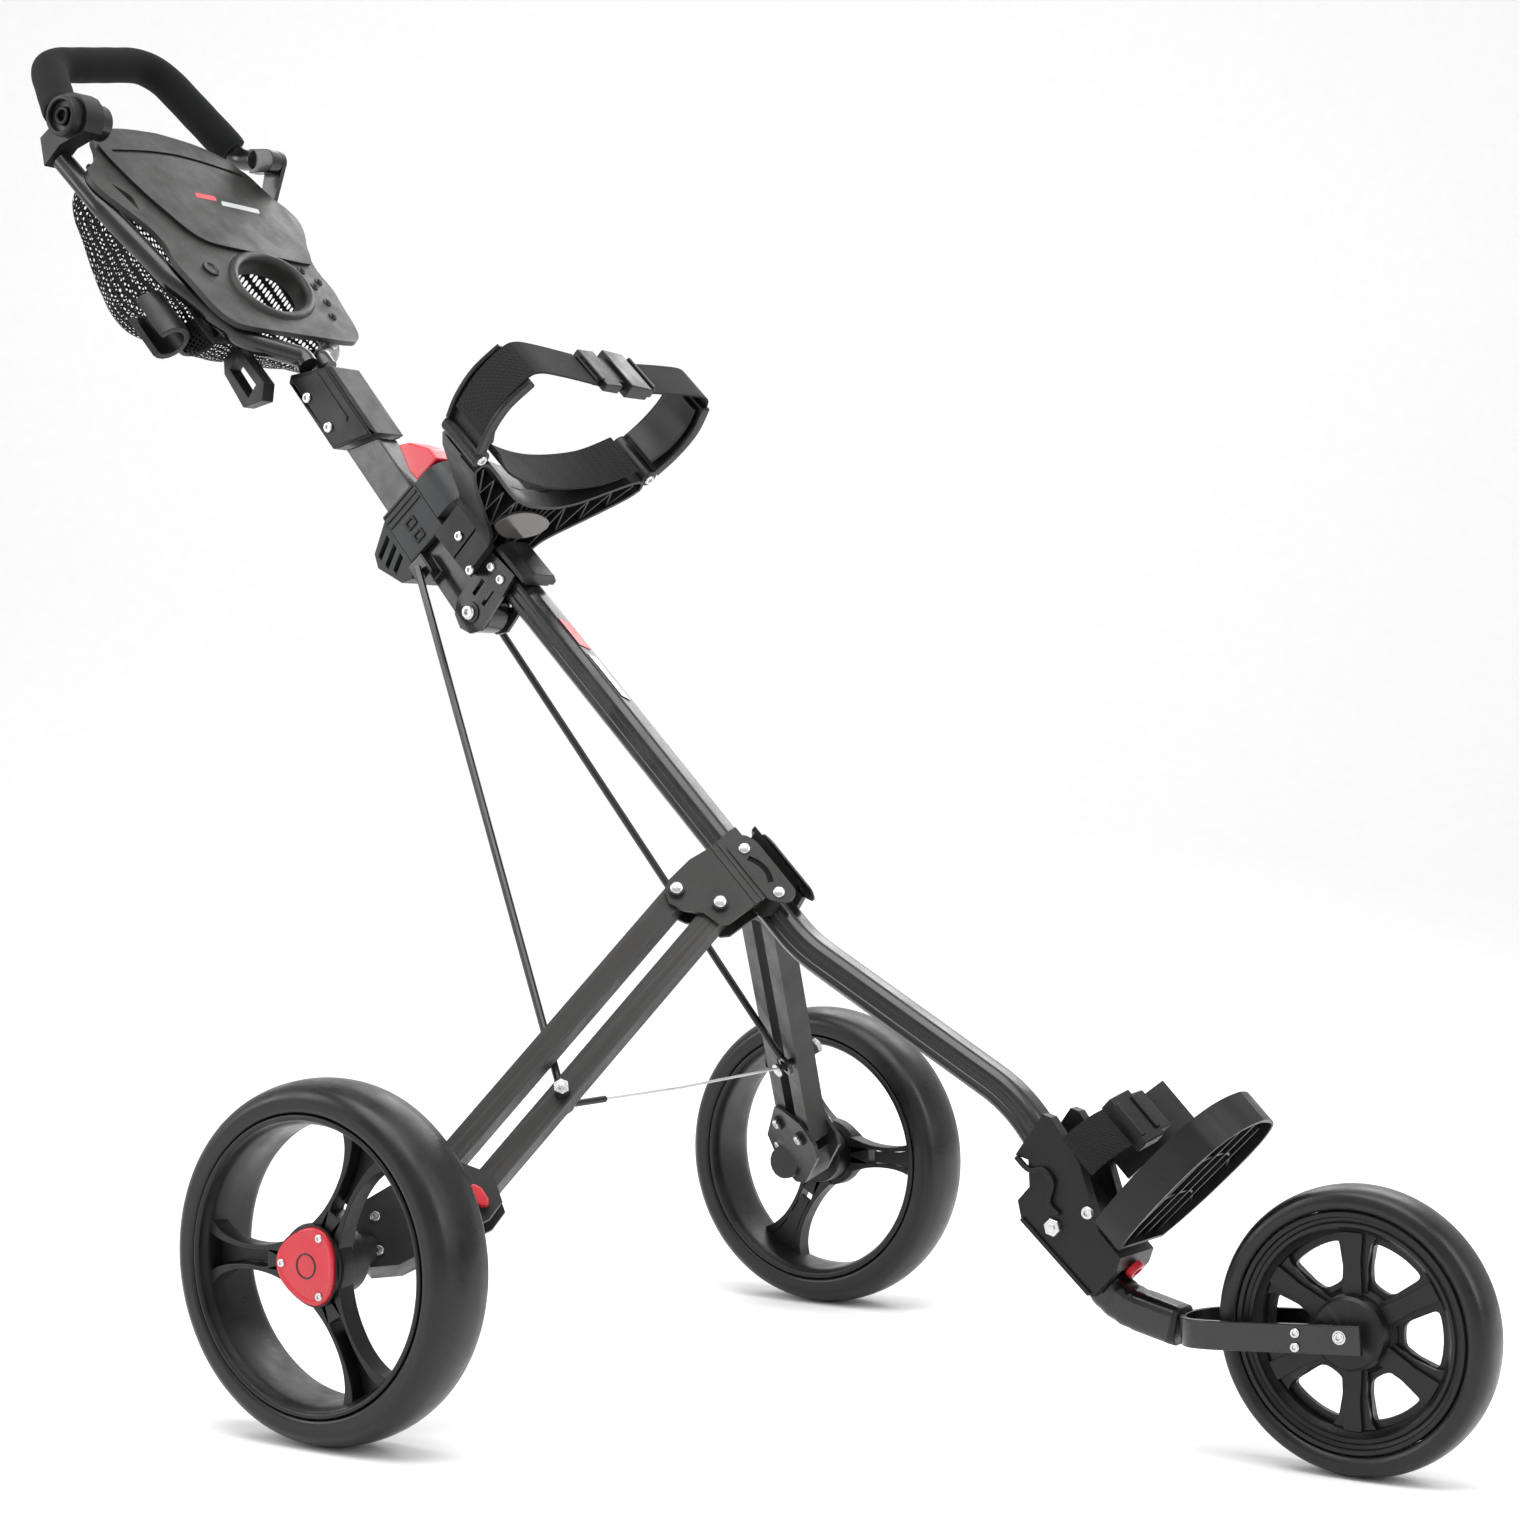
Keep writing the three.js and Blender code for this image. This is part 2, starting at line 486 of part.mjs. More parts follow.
// ---------- stem ----------
const A = V(-0.6483, 0, 0.7614);      // up along the stem
const B = V(0.7614, 0, 0.6483);       // square to the stem, forward and up
const stemSide = (points, y0, y1, holes = []) => plate(points, atPivot(0), A, B, y0, y1, holes);
const acrossStem = (points, a0, a1, holes = []) => plate(points, atPivot(0), V(0, 1, 0), B, -a1, -a0, holes);
const stemPts = [...arcPoints(0, 0, 17, 90, 270, 8), [205, -17], [187.6, 17]];
const anchor = acrossStem([[-25, -24], [25, -24], [25, -5], [-25, -5]], 52, 72);
part('stem', cut(join(stemSide(stemPts, -12, 12), rod(atPivot(-15.6), atPivot(15.6), 13, 16), anchor),
  rod(atPivot(-40), atPivot(40), 5 + GAP, 14)), COLORS.frame);
part('stem_clamp', acrossStem([[-18, -21.5], [18, -21.5], [18, 24], [-18, 24]], 76, 127,
  [[[-12.5, -17.5], [12.5, -17.5], [12.5, 17.5], [-12.5, 17.5]]]), COLORS.grey);
part('latch_barrel', acrossStem([[-18, 24.4], [18, 24.4], ...arcPoints(0, 37, 18, 0, 180, 10)], 86, 126),
  COLORS.grey);
part('release_tab', stemSide([[128, 26], [140, 24], [167, 30], [160, 40], [141, 53], [128, 54]], -13, 13),
  COLORS.red);
const lever = [[126, -23], [112, -50], [100, -55], [72, -43], [67, -32], [78, -23]];
const leverSlot = (a, b0, b1) => [[a + 3, b0], [a + 8, b0], [a + 8 + (b1 - b0) * 0.4, b1],
  [a + 3 + (b1 - b0) * 0.4, b1]];
part('latch_lever', cut(stemSide(lever, -15, 15), ...[leverSlot(107, -29, -48), leverSlot(96, -28, -47),
  leverSlot(85, -28, -43)].map((slot) => stemSide(slot, -16, 16))), COLORS.grey);
part('stem_head', join(stemSide([[188, 22], [212, -24], [292, -24], [296, -18], [272, 18], [268, 22]],
  -18, 18), stemSide([[192, 16], [209, -18], [290, -18], [270, 16]], -22, 22)), COLORS.plastic);

// ---------- console ----------
const CU = V(-0.6753, 0, 0.7375);     // up along the console
const CN = V(0.7375, 0, 0.6753);      // out of its face
const CO = V(-344, 0, 886);
const onConsole = (points, n0, n1, holes = []) => plate(points, CO, V(0, 1, 0), CU, n0, n1, holes);
const consolePoint = (y, u, n) => CO.clone().addScaledVector(CU, u).addScaledVector(CN, n).setY(y);
const panelHalf = [[0.01, 256], [60, 246], [103, 227], [104, 197], [131, 188], [130, 158], [112, 128],
  [99, 112], [98, 86], [103, 66], [97, 47], [92, 10], [84, -4], [62, -10]];
const oval = (dr) => ring(8, 52, 50 + dr, 20, 32 + dr, 0.5);
const tees = [[70, 84], [85, 72], [72, 63], [74, 42], [66, 22]].map(([y, u]) => ring(y, u, 3, 6));
const corner = [[-112, 166], [-98, 150], [-101, 134]];
part('console_panel', join(onConsole(mirrored(panelHalf), -8, 0, [oval(0), corner, ...tees]),
  onConsole(oval(5), -16, 0, [oval(0)])), COLORS.panel);
const lidPts = [[-95, 205], [-92, 222], [-58, 238], [0, 246], [58, 238], [92, 222], [98, 200], [112, 165],
  [92, 104], [-40, 104], [-66, 110], [-84, 140], [-84, 158], [-98, 178]];
part('console_lid', onConsole(lidPts, GAP, 3.4, [[[-84, 216], [84, 216], [84, 221], [-84, 221]]]),
  COLORS.panel);

const [HX, HZ] = HANDLE_AXIS;
const axisAt = (y) => V(HX, y, HZ);
const tubeTop = {
  right: [V(-460, -121, 983), V(-501, -129, 1028)],
  left: [V(-460, 121, 983), V(-497, 126, 1024)],
};
for (const [name, s] of SIDES) {
  const line = [V(-317.6, s * 12.3, 846.5), V(-324.6, s * 12.3, 854.5), V(-352, s * 54, 866),
    V(-399, s * 97, 917), ...tubeTop[name]];
  let tube = sweep(line, 60, circle(SIDE_R), 3);
  if (s > 0) {
    // the left tube ends in a flat ear whose pin carries the handle
    const ear = [...arcPoints(HX, HZ, 11, -30, 160, 8), [HX - 19, HZ - 34], [HX - 2, HZ - 38]];
    tube = join(tube, side(ear, 119, 124), rod(axisAt(106), axisAt(128), 6, 12));
  }
  part(`side_tube_${name}`, tube, COLORS.frame);
}
const clampBody = [...arcPoints(HX, HZ, 22, -40, 190, 10), [HX - 37, HZ - 14], [HX - 32, HZ - 39.5],
  [HX - 12.5, HZ - 23]];
part('handle_clamp', cut(side(clampBody, -141, -119.5), rod(axisAt(-100), axisAt(-160), 6 + GAP, 14)),
  COLORS.plastic);
part('clamp_knob', join(rod(axisAt(-141.4), axisAt(-153), 18, 20), rod(axisAt(-108), axisAt(-146), 6, 10)),
  COLORS.plastic);

const bag = [[8, -32], [225, -32], [229, -80], [193, -98], [145, -115], [114, -117], [57, -94], [5, -55]];
const bagIn = [[11, -20], [222, -20], [226, -78.5], [191.5, -95.5], [144, -112], [115, -113.8], [59, -91.5],
  [8, -53]];
const onBag = (points, y) => plate(points, CO, CU, CN, -y, y);
part('net_bag', cut(onBag(bag, 82), onBag(bagIn, 79)), COLORS.net);
const clip = [...arcPoints(-104, -53, 19, 240, 520, 14), ...arcPoints(-104, -53, 13, 520, 240, 14)];
part('umbrella_clip', plate(clip, CO, V(0, 1, 0), CN, -62, -16), COLORS.plastic);
part('strap_hook', plate([[2, -32], [-48, -32], [-58, -44], [-46, -64], [-8, -60], [2, -52]], CO, CU, CN,
  -50, -36, [[[-8, -40], [-42, -40], [-44, -54], [-10, -52]]]), COLORS.plastic);

// ---------- handle ----------
const SLANT = 12;
const handleLine = [V(-494, -108, 1064), V(-518, -112, 1067), V(-590, -66, 1146 - SLANT),
  V(-590, 66, 1146 + SLANT), V(-518, 112, 1067), V(-494, 108, 1064)];
const lug = (s) => side([...arcPoints(HX, HZ, s < 0 ? 16 : 11, -90, 90, 8), [-500, 1075], [-500, 1052]],
  s < 0 ? -118.5 : 105, s < 0 ? -104 : 118.5);
const handlePins = rod(V(HANDLE_AXIS[0], -160, HANDLE_AXIS[1]), V(HANDLE_AXIS[0], 160, HANDLE_AXIS[1]),
  6 + GAP, 14);
part('handle_bar', cut(join(sweep(handleLine, 30, circle(BAR_R, 10), 4), lug(-1), lug(1)), handlePins),
  COLORS.frame);
const gripLine = handleLine.slice(1, -1);
gripLine[0] = handleLine[1].clone().lerp(handleLine[2], 0.14);
gripLine[3] = handleLine[4].clone().lerp(handleLine[3], 0.09);
part('foam_grip', sweep(gripLine, 30, annulus(GRIP_R, BAR_R + 1, 12), 4), COLORS.foam);

// ---------- output ----------
const group = new THREE.Group();
group.name = 'golf_push_cart';
const bounds = new THREE.Box3();
for (const [, g] of parts) {
  g.computeBoundingBox();
  bounds.union(g.boundingBox);
}
const shift = V(-(bounds.min.x + bounds.max.x) / 2, -(bounds.min.y + bounds.max.y) / 2, -bounds.min.z);
for (const [name, g, color] of parts) {
  g.translate(shift.x, shift.y, shift.z);
  g.computeVertexNormals();
  const mesh = new THREE.Mesh(g, new THREE.MeshStandardMaterial({ color, roughness: 0.55 }));
  mesh.name = name;
  group.add(mesh);
}
group.userData.shift = [shift.x, shift.y, shift.z];
export default group;
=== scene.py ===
import json
import math

import bmesh
import bpy
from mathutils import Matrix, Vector
from mathutils.geometry import tessellate_polygon

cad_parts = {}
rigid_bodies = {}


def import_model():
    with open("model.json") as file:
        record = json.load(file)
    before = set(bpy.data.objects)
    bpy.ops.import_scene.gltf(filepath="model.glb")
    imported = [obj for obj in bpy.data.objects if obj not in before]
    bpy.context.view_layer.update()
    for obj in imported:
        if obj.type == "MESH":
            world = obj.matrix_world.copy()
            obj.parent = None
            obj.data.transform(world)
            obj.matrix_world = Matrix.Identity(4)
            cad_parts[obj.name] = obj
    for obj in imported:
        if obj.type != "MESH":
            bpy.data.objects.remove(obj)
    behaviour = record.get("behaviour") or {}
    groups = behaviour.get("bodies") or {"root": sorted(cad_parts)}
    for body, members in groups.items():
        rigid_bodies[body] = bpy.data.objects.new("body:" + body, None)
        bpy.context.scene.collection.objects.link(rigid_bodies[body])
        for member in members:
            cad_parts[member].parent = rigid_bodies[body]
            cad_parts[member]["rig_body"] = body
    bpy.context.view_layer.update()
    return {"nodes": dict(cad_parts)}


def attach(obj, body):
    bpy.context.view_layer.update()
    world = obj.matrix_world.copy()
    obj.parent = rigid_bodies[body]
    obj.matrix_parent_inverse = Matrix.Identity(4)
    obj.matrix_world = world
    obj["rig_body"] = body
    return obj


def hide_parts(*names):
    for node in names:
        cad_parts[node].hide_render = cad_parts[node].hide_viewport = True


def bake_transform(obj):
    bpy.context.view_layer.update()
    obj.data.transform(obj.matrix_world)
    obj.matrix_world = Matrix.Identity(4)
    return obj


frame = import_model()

# Shapes are laid out in millimetres from the middle of the rear axle line, on the ground.
# piece() turns them into metres in the row frame.
SHIFT = -80.949


def vec(x, y, z):
    return Vector((x, y, z))


Y = vec(0, 1, 0)
T = vec(1, 0, -1).normalized()           # down along the main tube
U = vec(1, 0, 1).normalized()            # square to the tube, up and forward
A = vec(-0.6483, 0, 0.7614)              # up along the stem
B = vec(0.7614, 0, 0.6483)               # square to the stem, forward and up
CU = vec(-0.6753, 0, 0.7375)             # up along the console
CN = vec(0.7375, 0, 0.6753)              # out of its face
CO = vec(-344, 0, 886)
PIVOT = vec(-128, 0, 625)
REAR_R, TRACK, BASE, FRONT_R = 135, 337, 665, 103
SIDES = [("right", -1), ("left", 1)]
LEG_ANGLE = math.radians(73.5)
LEG_DIR = (math.cos(LEG_ANGLE), math.sin(LEG_ANGLE))
UP_PIN, LOW_PIN, LEG_LEN = (-200, -226.5), (-170, -247.3), 303
LEG_PLANE = 280                          # from the origin to the middle of the leg tubes
ROD_AT = 197                             # stay-rod stud, along the lower leg from its pin
CAP_R, SEAT_R, LOBE, CAP_SCREW_R = 28.2, 29.6, 2.2, 24.6
CAMERA_TURN = math.radians(34.02)


def leg_normal(s):
    return vec(0.4801, 0.7342 * s, 0.4801).normalized()


def leg_down(s):
    return (T.cross(leg_normal(s)) * -s).normalized()


def leg_point(s, t, m, n):
    return T * t + leg_down(s) * m + leg_normal(s) * n


def on_leg(pin, d):
    return (pin[0] + LEG_DIR[0] * d, pin[1] + LEG_DIR[1] * d)


def stem_point(a, b, y=0):
    return PIVOT + A * a + B * b + Y * y


def console_point(y, u, n):
    return CO + CU * u + CN * n + Y * y


# ---------- outlines ----------
def area(points):
    return sum(a[0] * b[1] - b[0] * a[1] for a, b in zip(points, points[1:] + points[:1])) / 2


def wound(points, positive):
    points = [tuple(p) for p in points]
    return points if (area(points) > 0) == positive else points[::-1]


def ring(cx, cy, r, n=32, ry=None, turn=0):
    ry = r if ry is None else ry
    out = []
    for i in range(n):
        a = i / n * math.tau
        x, y = math.cos(a) * r, math.sin(a) * ry
        out.append((cx + x * math.cos(turn) - y * math.sin(turn), cy + x * math.sin(turn)
                    + y * math.cos(turn)))
    return out


def arc(cx, cy, r, start, end, n):
    angles = [math.radians(start + (end - start) * i / n) for i in range(n + 1)]
    return [(cx + r * math.cos(a), cy + r * math.sin(a)) for a in angles]


def fillet(points, r, n=4):
    """Rounds every corner of a closed outline; r is one radius or one for each corner."""
    out = []
    count = len(points)
    for i, p in enumerate(points):
        p = Vector(p)
        a, b = Vector(points[i - 1]) - p, Vector(points[(i + 1) % count]) - p
        size = r[i] if isinstance(r, (list, tuple)) else r
        cut = min(size, a.length * 0.45, b.length * 0.45)
        p0, p1 = p + a.normalized() * cut, p + b.normalized() * cut
        for k in range(n + 1):
            t = k / n
            q = p0 * (1 - t) ** 2 + p * 2 * t * (1 - t) + p1 * t * t
            out.append((q.x, q.y))
    return out


def smooth(points, n, closed=False):
    """Catmull-Rom curve through the points, in any number of dimensions."""
    pts = [Vector(p) for p in points]
    count = len(pts)
    spans = count if closed else count - 1
    out = []
    for k in range(n + (0 if closed else 1)):
        f = k / n * spans
        i = min(int(f), spans - 1)
        t = f - i
        if closed:
            p = [pts[(i + j) % count] for j in (-1, 0, 1, 2)]
        else:
            p = [pts[max(i - 1, 0)], pts[i], pts[min(i + 1, count - 1)], pts[min(i + 2, count - 1)]]
        q = (p[1] * 2 + (p[2] - p[0]) * t + (p[0] * 2 - p[1] * 5 + p[2] * 4 - p[3]) * t * t
             + (p[1] * 3 - p[0] - p[2] * 3 + p[3]) * t ** 3) * 0.5
        out.append(tuple(q))
    return out


def band(line, t):
    """Outline of a strip of thickness t that follows a centre line; t may be a list."""
    left, right = [], []
    for i, (x, y) in enumerate(line):
        a, b = line[max(i - 1, 0)], line[min(i + 1, len(line) - 1)]
        dx, dy = b[0] - a[0], b[1] - a[1]
        length = math.hypot(dx, dy)
        h = (t[i] if isinstance(t, (list, tuple)) else t) / 2
        left.append((x - dy / length * h, y + dx / length * h))
        right.insert(0, (x + dy / length * h, y - dx / length * h))
    return left + right


def mirrored(half):
    return list(half) + [(-y, u) for y, u in reversed(half)]


# ---------- solids: (vertices, faces) in layout millimetres ----------
def plate(points, origin, ex, ey, a, b, holes=()):
    ez = ex.cross(ey).normalized()
    loops = [wound(points, True)] + [wound(h, False) for h in holes]
    flat = [p for loop in loops for p in loop]
    n = len(flat)
    verts = [origin + ex * x + ey * y + ez * h for h in (a, b) for x, y in flat]
    if holes:
        caps = []
        for tri in tessellate_polygon([[vec(x, y, 0) for x, y in loop] for loop in loops]):
            caps.append(tri if area([flat[i] for i in tri]) > 0 else tri[::-1])
    else:
        caps = [tuple(range(n))]
    faces = [tuple(i + n for i in c) for c in caps] + [tuple(reversed(c)) for c in caps]
    start = 0
    for loop in loops:
        m = len(loop)
        for i in range(m):
            j = (i + 1) % m
            faces.append((start + i, start + j, start + j + n, start + i + n))
        start += m
    return verts, faces


def side(points, y0, y1, holes=()):
    return plate(points, vec(0, 0, 0), vec(1, 0, 0), vec(0, 0, 1), -y1, -y0, holes)


def across_tube(points, t0, t1, holes=()):
    return plate(points, vec(0, 0, 0), Y, U, t0, t1, holes)


def stem_side(points, y0, y1, holes=()):
    return plate(points, PIVOT, A, B, y0, y1, holes)


def on_console(points, n0, n1, holes=()):
    return plate(points, CO, Y, CU, n0, n1, holes)


def sweep(path, section, ref=Y, closed=False, scales=None):
    """A closed section carried along a path. ref gives the section's first direction."""
    path = [Vector(p) for p in path]
    count, m = len(path), len(section)
    verts, faces = [], []
    side_dir = None
    for i, p in enumerate(path):
        if closed:
            t = (path[(i + 1) % count] - path[i - 1]).normalized()
        else:
            t = (path[min(i + 1, count - 1)] - path[max(i - 1, 0)]).normalized()
        base = ref if ref is not None else side_dir
        if base is None:
            base = vec(0, 0, 1) if abs(t.z) < 0.9 else vec(1, 0, 0)
        side_dir = (base - t * base.dot(t)).normalized()
        up = t.cross(side_dir)
        k = scales[i] if scales else 1
        verts += [p + side_dir * (x * k) + up * (y * k) for x, y in section]
    for i in range(count if closed else count - 1):
        j = (i + 1) % count
        for a in range(m):
            b = (a + 1) % m
            faces.append((i * m + a, i * m + b, j * m + b, j * m + a))
    if not closed:
        faces += [tuple(reversed(range(m))), tuple(range((count - 1) * m, count * m))]
    return verts, faces


def tube(path, r, n=16, closed=False, scales=None):
    return sweep(path, ring(0, 0, r, n), None, closed, scales)


def rounded(points, radius, n=10):
    """A polyline with its corners turned into smooth bends."""
    pts = [Vector(p) for p in points]
    out = [pts[0]]
    for i in range(1, len(pts) - 1):
        a, p, b = pts[i - 1], pts[i], pts[i + 1]
        u, w = (a - p).normalized(), (b - p).normalized()
        cut = min(radius * math.tan((math.pi - u.angle(w)) / 2), (a - p).length * 0.48, (b - p).length * 0.48)
        p0, p1 = p + u * cut, p + w * cut
        for k in range(n + 1):
            t = k / n
            out.append(p0 * (1 - t) ** 2 + p * 2 * t * (1 - t) + p1 * t * t)
    out.append(pts[-1])
    return [out[0]] + [q for q, prev in zip(out[1:], out) if (q - prev).length > 0.3]


def lathe(profile, origin, axis=Y, n=96, closed=True):
    """profile is (radius, height along the axis); closed joins its last point to its first."""
    axis = axis.normalized()
    e1 = axis.orthogonal().normalized()
    e2 = axis.cross(e1)
    m = len(profile)
    verts, faces = [], []
    for i in range(n):
        a = i / n * math.tau
        d = e1 * math.cos(a) + e2 * math.sin(a)
        verts += [origin + d * r + axis * h for r, h in profile]
    for i in range(n):
        j = (i + 1) % n
        for k in range(m if closed else m - 1):
            l = (k + 1) % m
            faces.append((i * m + k, i * m + l, j * m + l, j * m + k))
    return verts, faces


def rod(p, q, r, n=24, r2=None):
    axis = q - p
    r2 = r if r2 is None else r2
    return lathe([(0, 0), (r, 0), (r2, axis.length), (0, axis.length)], p, axis, n, False)


def dome(p, axis, r, h, n=20):
    """A domed rivet or button head standing on p."""
    rim = [(r, 0), (r, h * 0.35)]
    cap = [(r * math.cos(a), h * (0.35 + 0.65 * math.sin(a))) for a in (0.45, 0.9, 1.25)]
    return lathe([(0, 0)] + rim + cap + [(0, h)], p, axis, n, False)


def socket_screw(p, axis, r, h, n=20):
    """A pan head with a round recess in its top."""
    return lathe([(0, 0), (r, 0), (r, h * 0.6), (r * 0.82, h), (r * 0.45, h), (r * 0.4, h * 0.35),
                  (0, h * 0.35)],
                 p, axis, n, False)


def nut(p, axis, r, h):
    return lathe([(0, 0), (r, 0), (r, h * 0.85), (r * 0.9, h), (r * 0.5, h), (r * 0.45, h * 1.25),
                  (0, h * 1.3)],
                 p, axis, 6, False)


# ---------- materials ----------
def node_material(name, base, rough, grain, bump, vary=0.25, metal=0.0, coat=0.0, edge=0.0, spec=0.5,
                  rough_vary=0.12, pattern=None, sheen=0.0):
    """Base colour, roughness and relief all vary with noise in the piece's own coordinates."""
    mat = bpy.data.materials.new(name)
    mat.use_nodes = True
    tree = mat.node_tree
    shader = tree.nodes["Principled BSDF"]
    link = tree.links.new

    def node(kind, **values):
        made = tree.nodes.new(kind)
        for key, value in values.items():
            if key in made.inputs:
                made.inputs[key].default_value = value
            else:
                setattr(made, key, value)
        return made

    where = node("ShaderNodeTexCoord").outputs["Object"]
    cloud = node("ShaderNodeTexNoise", Scale=38.0, Detail=5.0, Roughness=0.6)
    fine = node("ShaderNodeTexNoise", Scale=grain, Detail=3.0, Roughness=0.55)
    link(where, cloud.inputs["Vector"])
    link(where, fine.inputs["Vector"])
    ramp = node("ShaderNodeValToRGB")
    ramp.color_ramp.elements[0].position = 0.3
    ramp.color_ramp.elements[1].position = 0.72
    low, high = 1 - vary, 1 + vary
    ramp.color_ramp.elements[0].color = (*[c * low for c in base], 1)
    ramp.color_ramp.elements[1].color = (*[min(c * high, 1) for c in base], 1)
    link(cloud.outputs["Fac"], ramp.inputs["Fac"])
    colour = ramp.outputs["Color"]
    if edge:
        # painted highlight: edges are mixed towards a paler colour, standing in for the light caught along
        # them
        edge_highlight = node("ShaderNodeMapRange", **{"From Min": 0.52, "From Max": 0.62, "To Min": 0.0,
                                             "To Max": edge})
        link(node("ShaderNodeNewGeometry").outputs["Pointiness"], edge_highlight.inputs["Value"])
        mix = node("ShaderNodeMix", data_type="RGBA")
        link(edge_highlight.outputs["Result"], mix.inputs["Factor"])
        link(colour, mix.inputs[6])
        mix.inputs[7].default_value = (*[min(c * 3 + 0.05, 1) for c in base], 1)
        colour = mix.outputs[2]
    link(colour, shader.inputs["Base Color"])
    spread = node("ShaderNodeMapRange", **{"From Min": 0.3, "From Max": 0.7,
                                           "To Min": max(rough - rough_vary, 0.03),
                                           "To Max": min(rough + rough_vary, 1.0)})
    link(cloud.outputs["Fac"], spread.inputs["Value"])
    link(spread.outputs["Result"], shader.inputs["Roughness"])
    height = fine.outputs["Fac"]
    if pattern:
        height = pattern(node, link, where, height)
    relief = node("ShaderNodeBump", Strength=bump, Distance=0.0006)
    link(height, relief.inputs["Height"])
    link(relief.outputs["Normal"], shader.inputs["Normal"])
    shader.inputs["Metallic"].default_value = metal
    shader.inputs["Coat Weight"].default_value = coat
    shader.inputs["Specular IOR Level"].default_value = spec
    shader.inputs["Sheen Weight"].default_value = sheen
    return mat


def weave(pitch_t, pitch_l):
    """Ribs along the strap crossed by finer threads, in the strap's own plane."""
    def build(node, link, where, grain):
        turn = node("ShaderNodeMapping")
        turn.inputs["Rotation"].default_value = (0, math.radians(45), 0)
        link(where, turn.inputs["Vector"])
        ribs = node("ShaderNodeTexWave", Scale=1 / pitch_t / math.tau * 2, bands_direction="X")
        threads = node("ShaderNodeTexWave", Scale=1 / pitch_l / math.tau * 2, bands_direction="DIAGONAL")
        link(turn.outputs["Vector"], ribs.inputs["Vector"])
        link(turn.outputs["Vector"], threads.inputs["Vector"])
        both = node("ShaderNodeMath", operation="MULTIPLY_ADD")
        link(ribs.outputs["Fac"], both.inputs[0])
        link(threads.outputs["Fac"], both.inputs[1])
        link(grain, both.inputs[2])
        return both.outputs["Value"]
    return build


def cells(scale):
    """Tiny open cells, as on foam."""
    def build(node, link, where, grain):
        spots = node("ShaderNodeTexVoronoi", Scale=scale)
        link(where, spots.inputs["Vector"])
        both = node("ShaderNodeMath", operation="ADD")
        link(spots.outputs["Distance"], both.inputs[0])
        link(grain, both.inputs[1])
        return both.outputs["Value"]
    return build


MAT = {
    "paint": node_material("frame_paint", (0.0062, 0.0061, 0.006), 0.26, 900, 0.08, coat=0.15, edge=0.12,
                           spec=0.45),
    "leg": node_material("leg_paint", (0.0130, 0.0120, 0.0112), 0.40, 1500, 0.30, edge=0.2, spec=0.35),
    "plastic": node_material("black_plastic", (0.0052, 0.0053, 0.0055), 0.38, 1400, 0.25, edge=0.22,
                             spec=0.3),
    "rim": node_material("rim_plastic", (0.0058, 0.0060, 0.0063), 0.38, 1100, 0.20, edge=0.18, spec=0.32),
    "grey": node_material("grey_plastic", (0.0175, 0.0190, 0.0202), 0.42, 1400, 0.25, edge=0.2, spec=0.35),
    "pad": node_material("pad_rubber", (0.013, 0.0134, 0.014), 0.42, 1600, 0.35, spec=0.35),
    "panel": node_material("panel_plastic", (0.0105, 0.0099, 0.0092), 0.40, 2200, 0.35, vary=0.12, edge=0.15,
                           spec=0.3),
    "tyre": node_material("tyre_rubber", (0.0055, 0.0055, 0.0057), 0.34, 700, 0.16, rough_vary=0.10,
                          spec=0.36),
    "red": node_material("red_plastic", (0.50, 0.007, 0.020), 0.34, 900, 0.08, vary=0.08, coat=0.2),
    "steel": node_material("zinc_steel", (0.58, 0.585, 0.60), 0.28, 1200, 0.10, vary=0.12, metal=1.0),
    "silver": node_material("silver_print", (0.42, 0.43, 0.44), 0.35, 1500, 0.06, vary=0.06, metal=0.4),
    "foam": node_material("foam", (0.0045, 0.0048, 0.0051), 0.92, 2600, 0.55, vary=0.2, spec=0.15, sheen=0.04,
                          rough_vary=0.05, pattern=cells(1500)),
    "web": node_material("webbing", (0.0085, 0.0085, 0.009), 0.80, 2400, 0.9, spec=0.22, sheen=0.05,
                         rough_vary=0.06,
                         pattern=weave(0.0032, 0.0022)),
    "net": node_material("knitted_net", (0.0055, 0.0055, 0.006), 0.82, 2600, 0.6, spec=0.2, rough_vary=0.06),
    "cable": node_material("cable_steel", (0.62, 0.62, 0.62), 0.35, 2600, 0.5, vary=0.15, metal=0.8),
    "badge": node_material("badge", (0.060, 0.054, 0.048), 0.22, 900, 0.05, vary=0.1, coat=0.3),
}


# ---------- pieces ----------
def finish_mesh(name, bm, body, mat, bevel, segments, angle, replaces):
    bmesh.ops.remove_doubles(bm, verts=bm.verts, dist=2e-6)
    bmesh.ops.recalc_face_normals(bm, faces=bm.faces)
    if bevel:
        limit = math.radians(angle)
        sharp = [e for e in bm.edges if len(e.link_faces) == 2 and e.calc_face_angle(0) > limit]
        bmesh.ops.bevel(bm, geom=sharp, offset=bevel * 0.001, offset_type="OFFSET", segments=segments,
                        profile=0.6, affect="EDGES", clamp_overlap=True)
    mesh = bpy.data.meshes.new(name)
    bm.to_mesh(mesh)
    bm.free()
    mesh.shade_smooth()
    mesh.set_sharp_from_angle(angle=math.radians(50))
    mesh.materials.append(MAT[mat])
    obj = bpy.data.objects.new(name, mesh)
    bpy.context.scene.collection.objects.link(obj)
    weighted = obj.modifiers.new("weighted", "WEIGHTED_NORMAL")
    weighted.keep_sharp = True
    if body:
        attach(obj, body)
    if replaces:
        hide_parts(*replaces)
    return obj


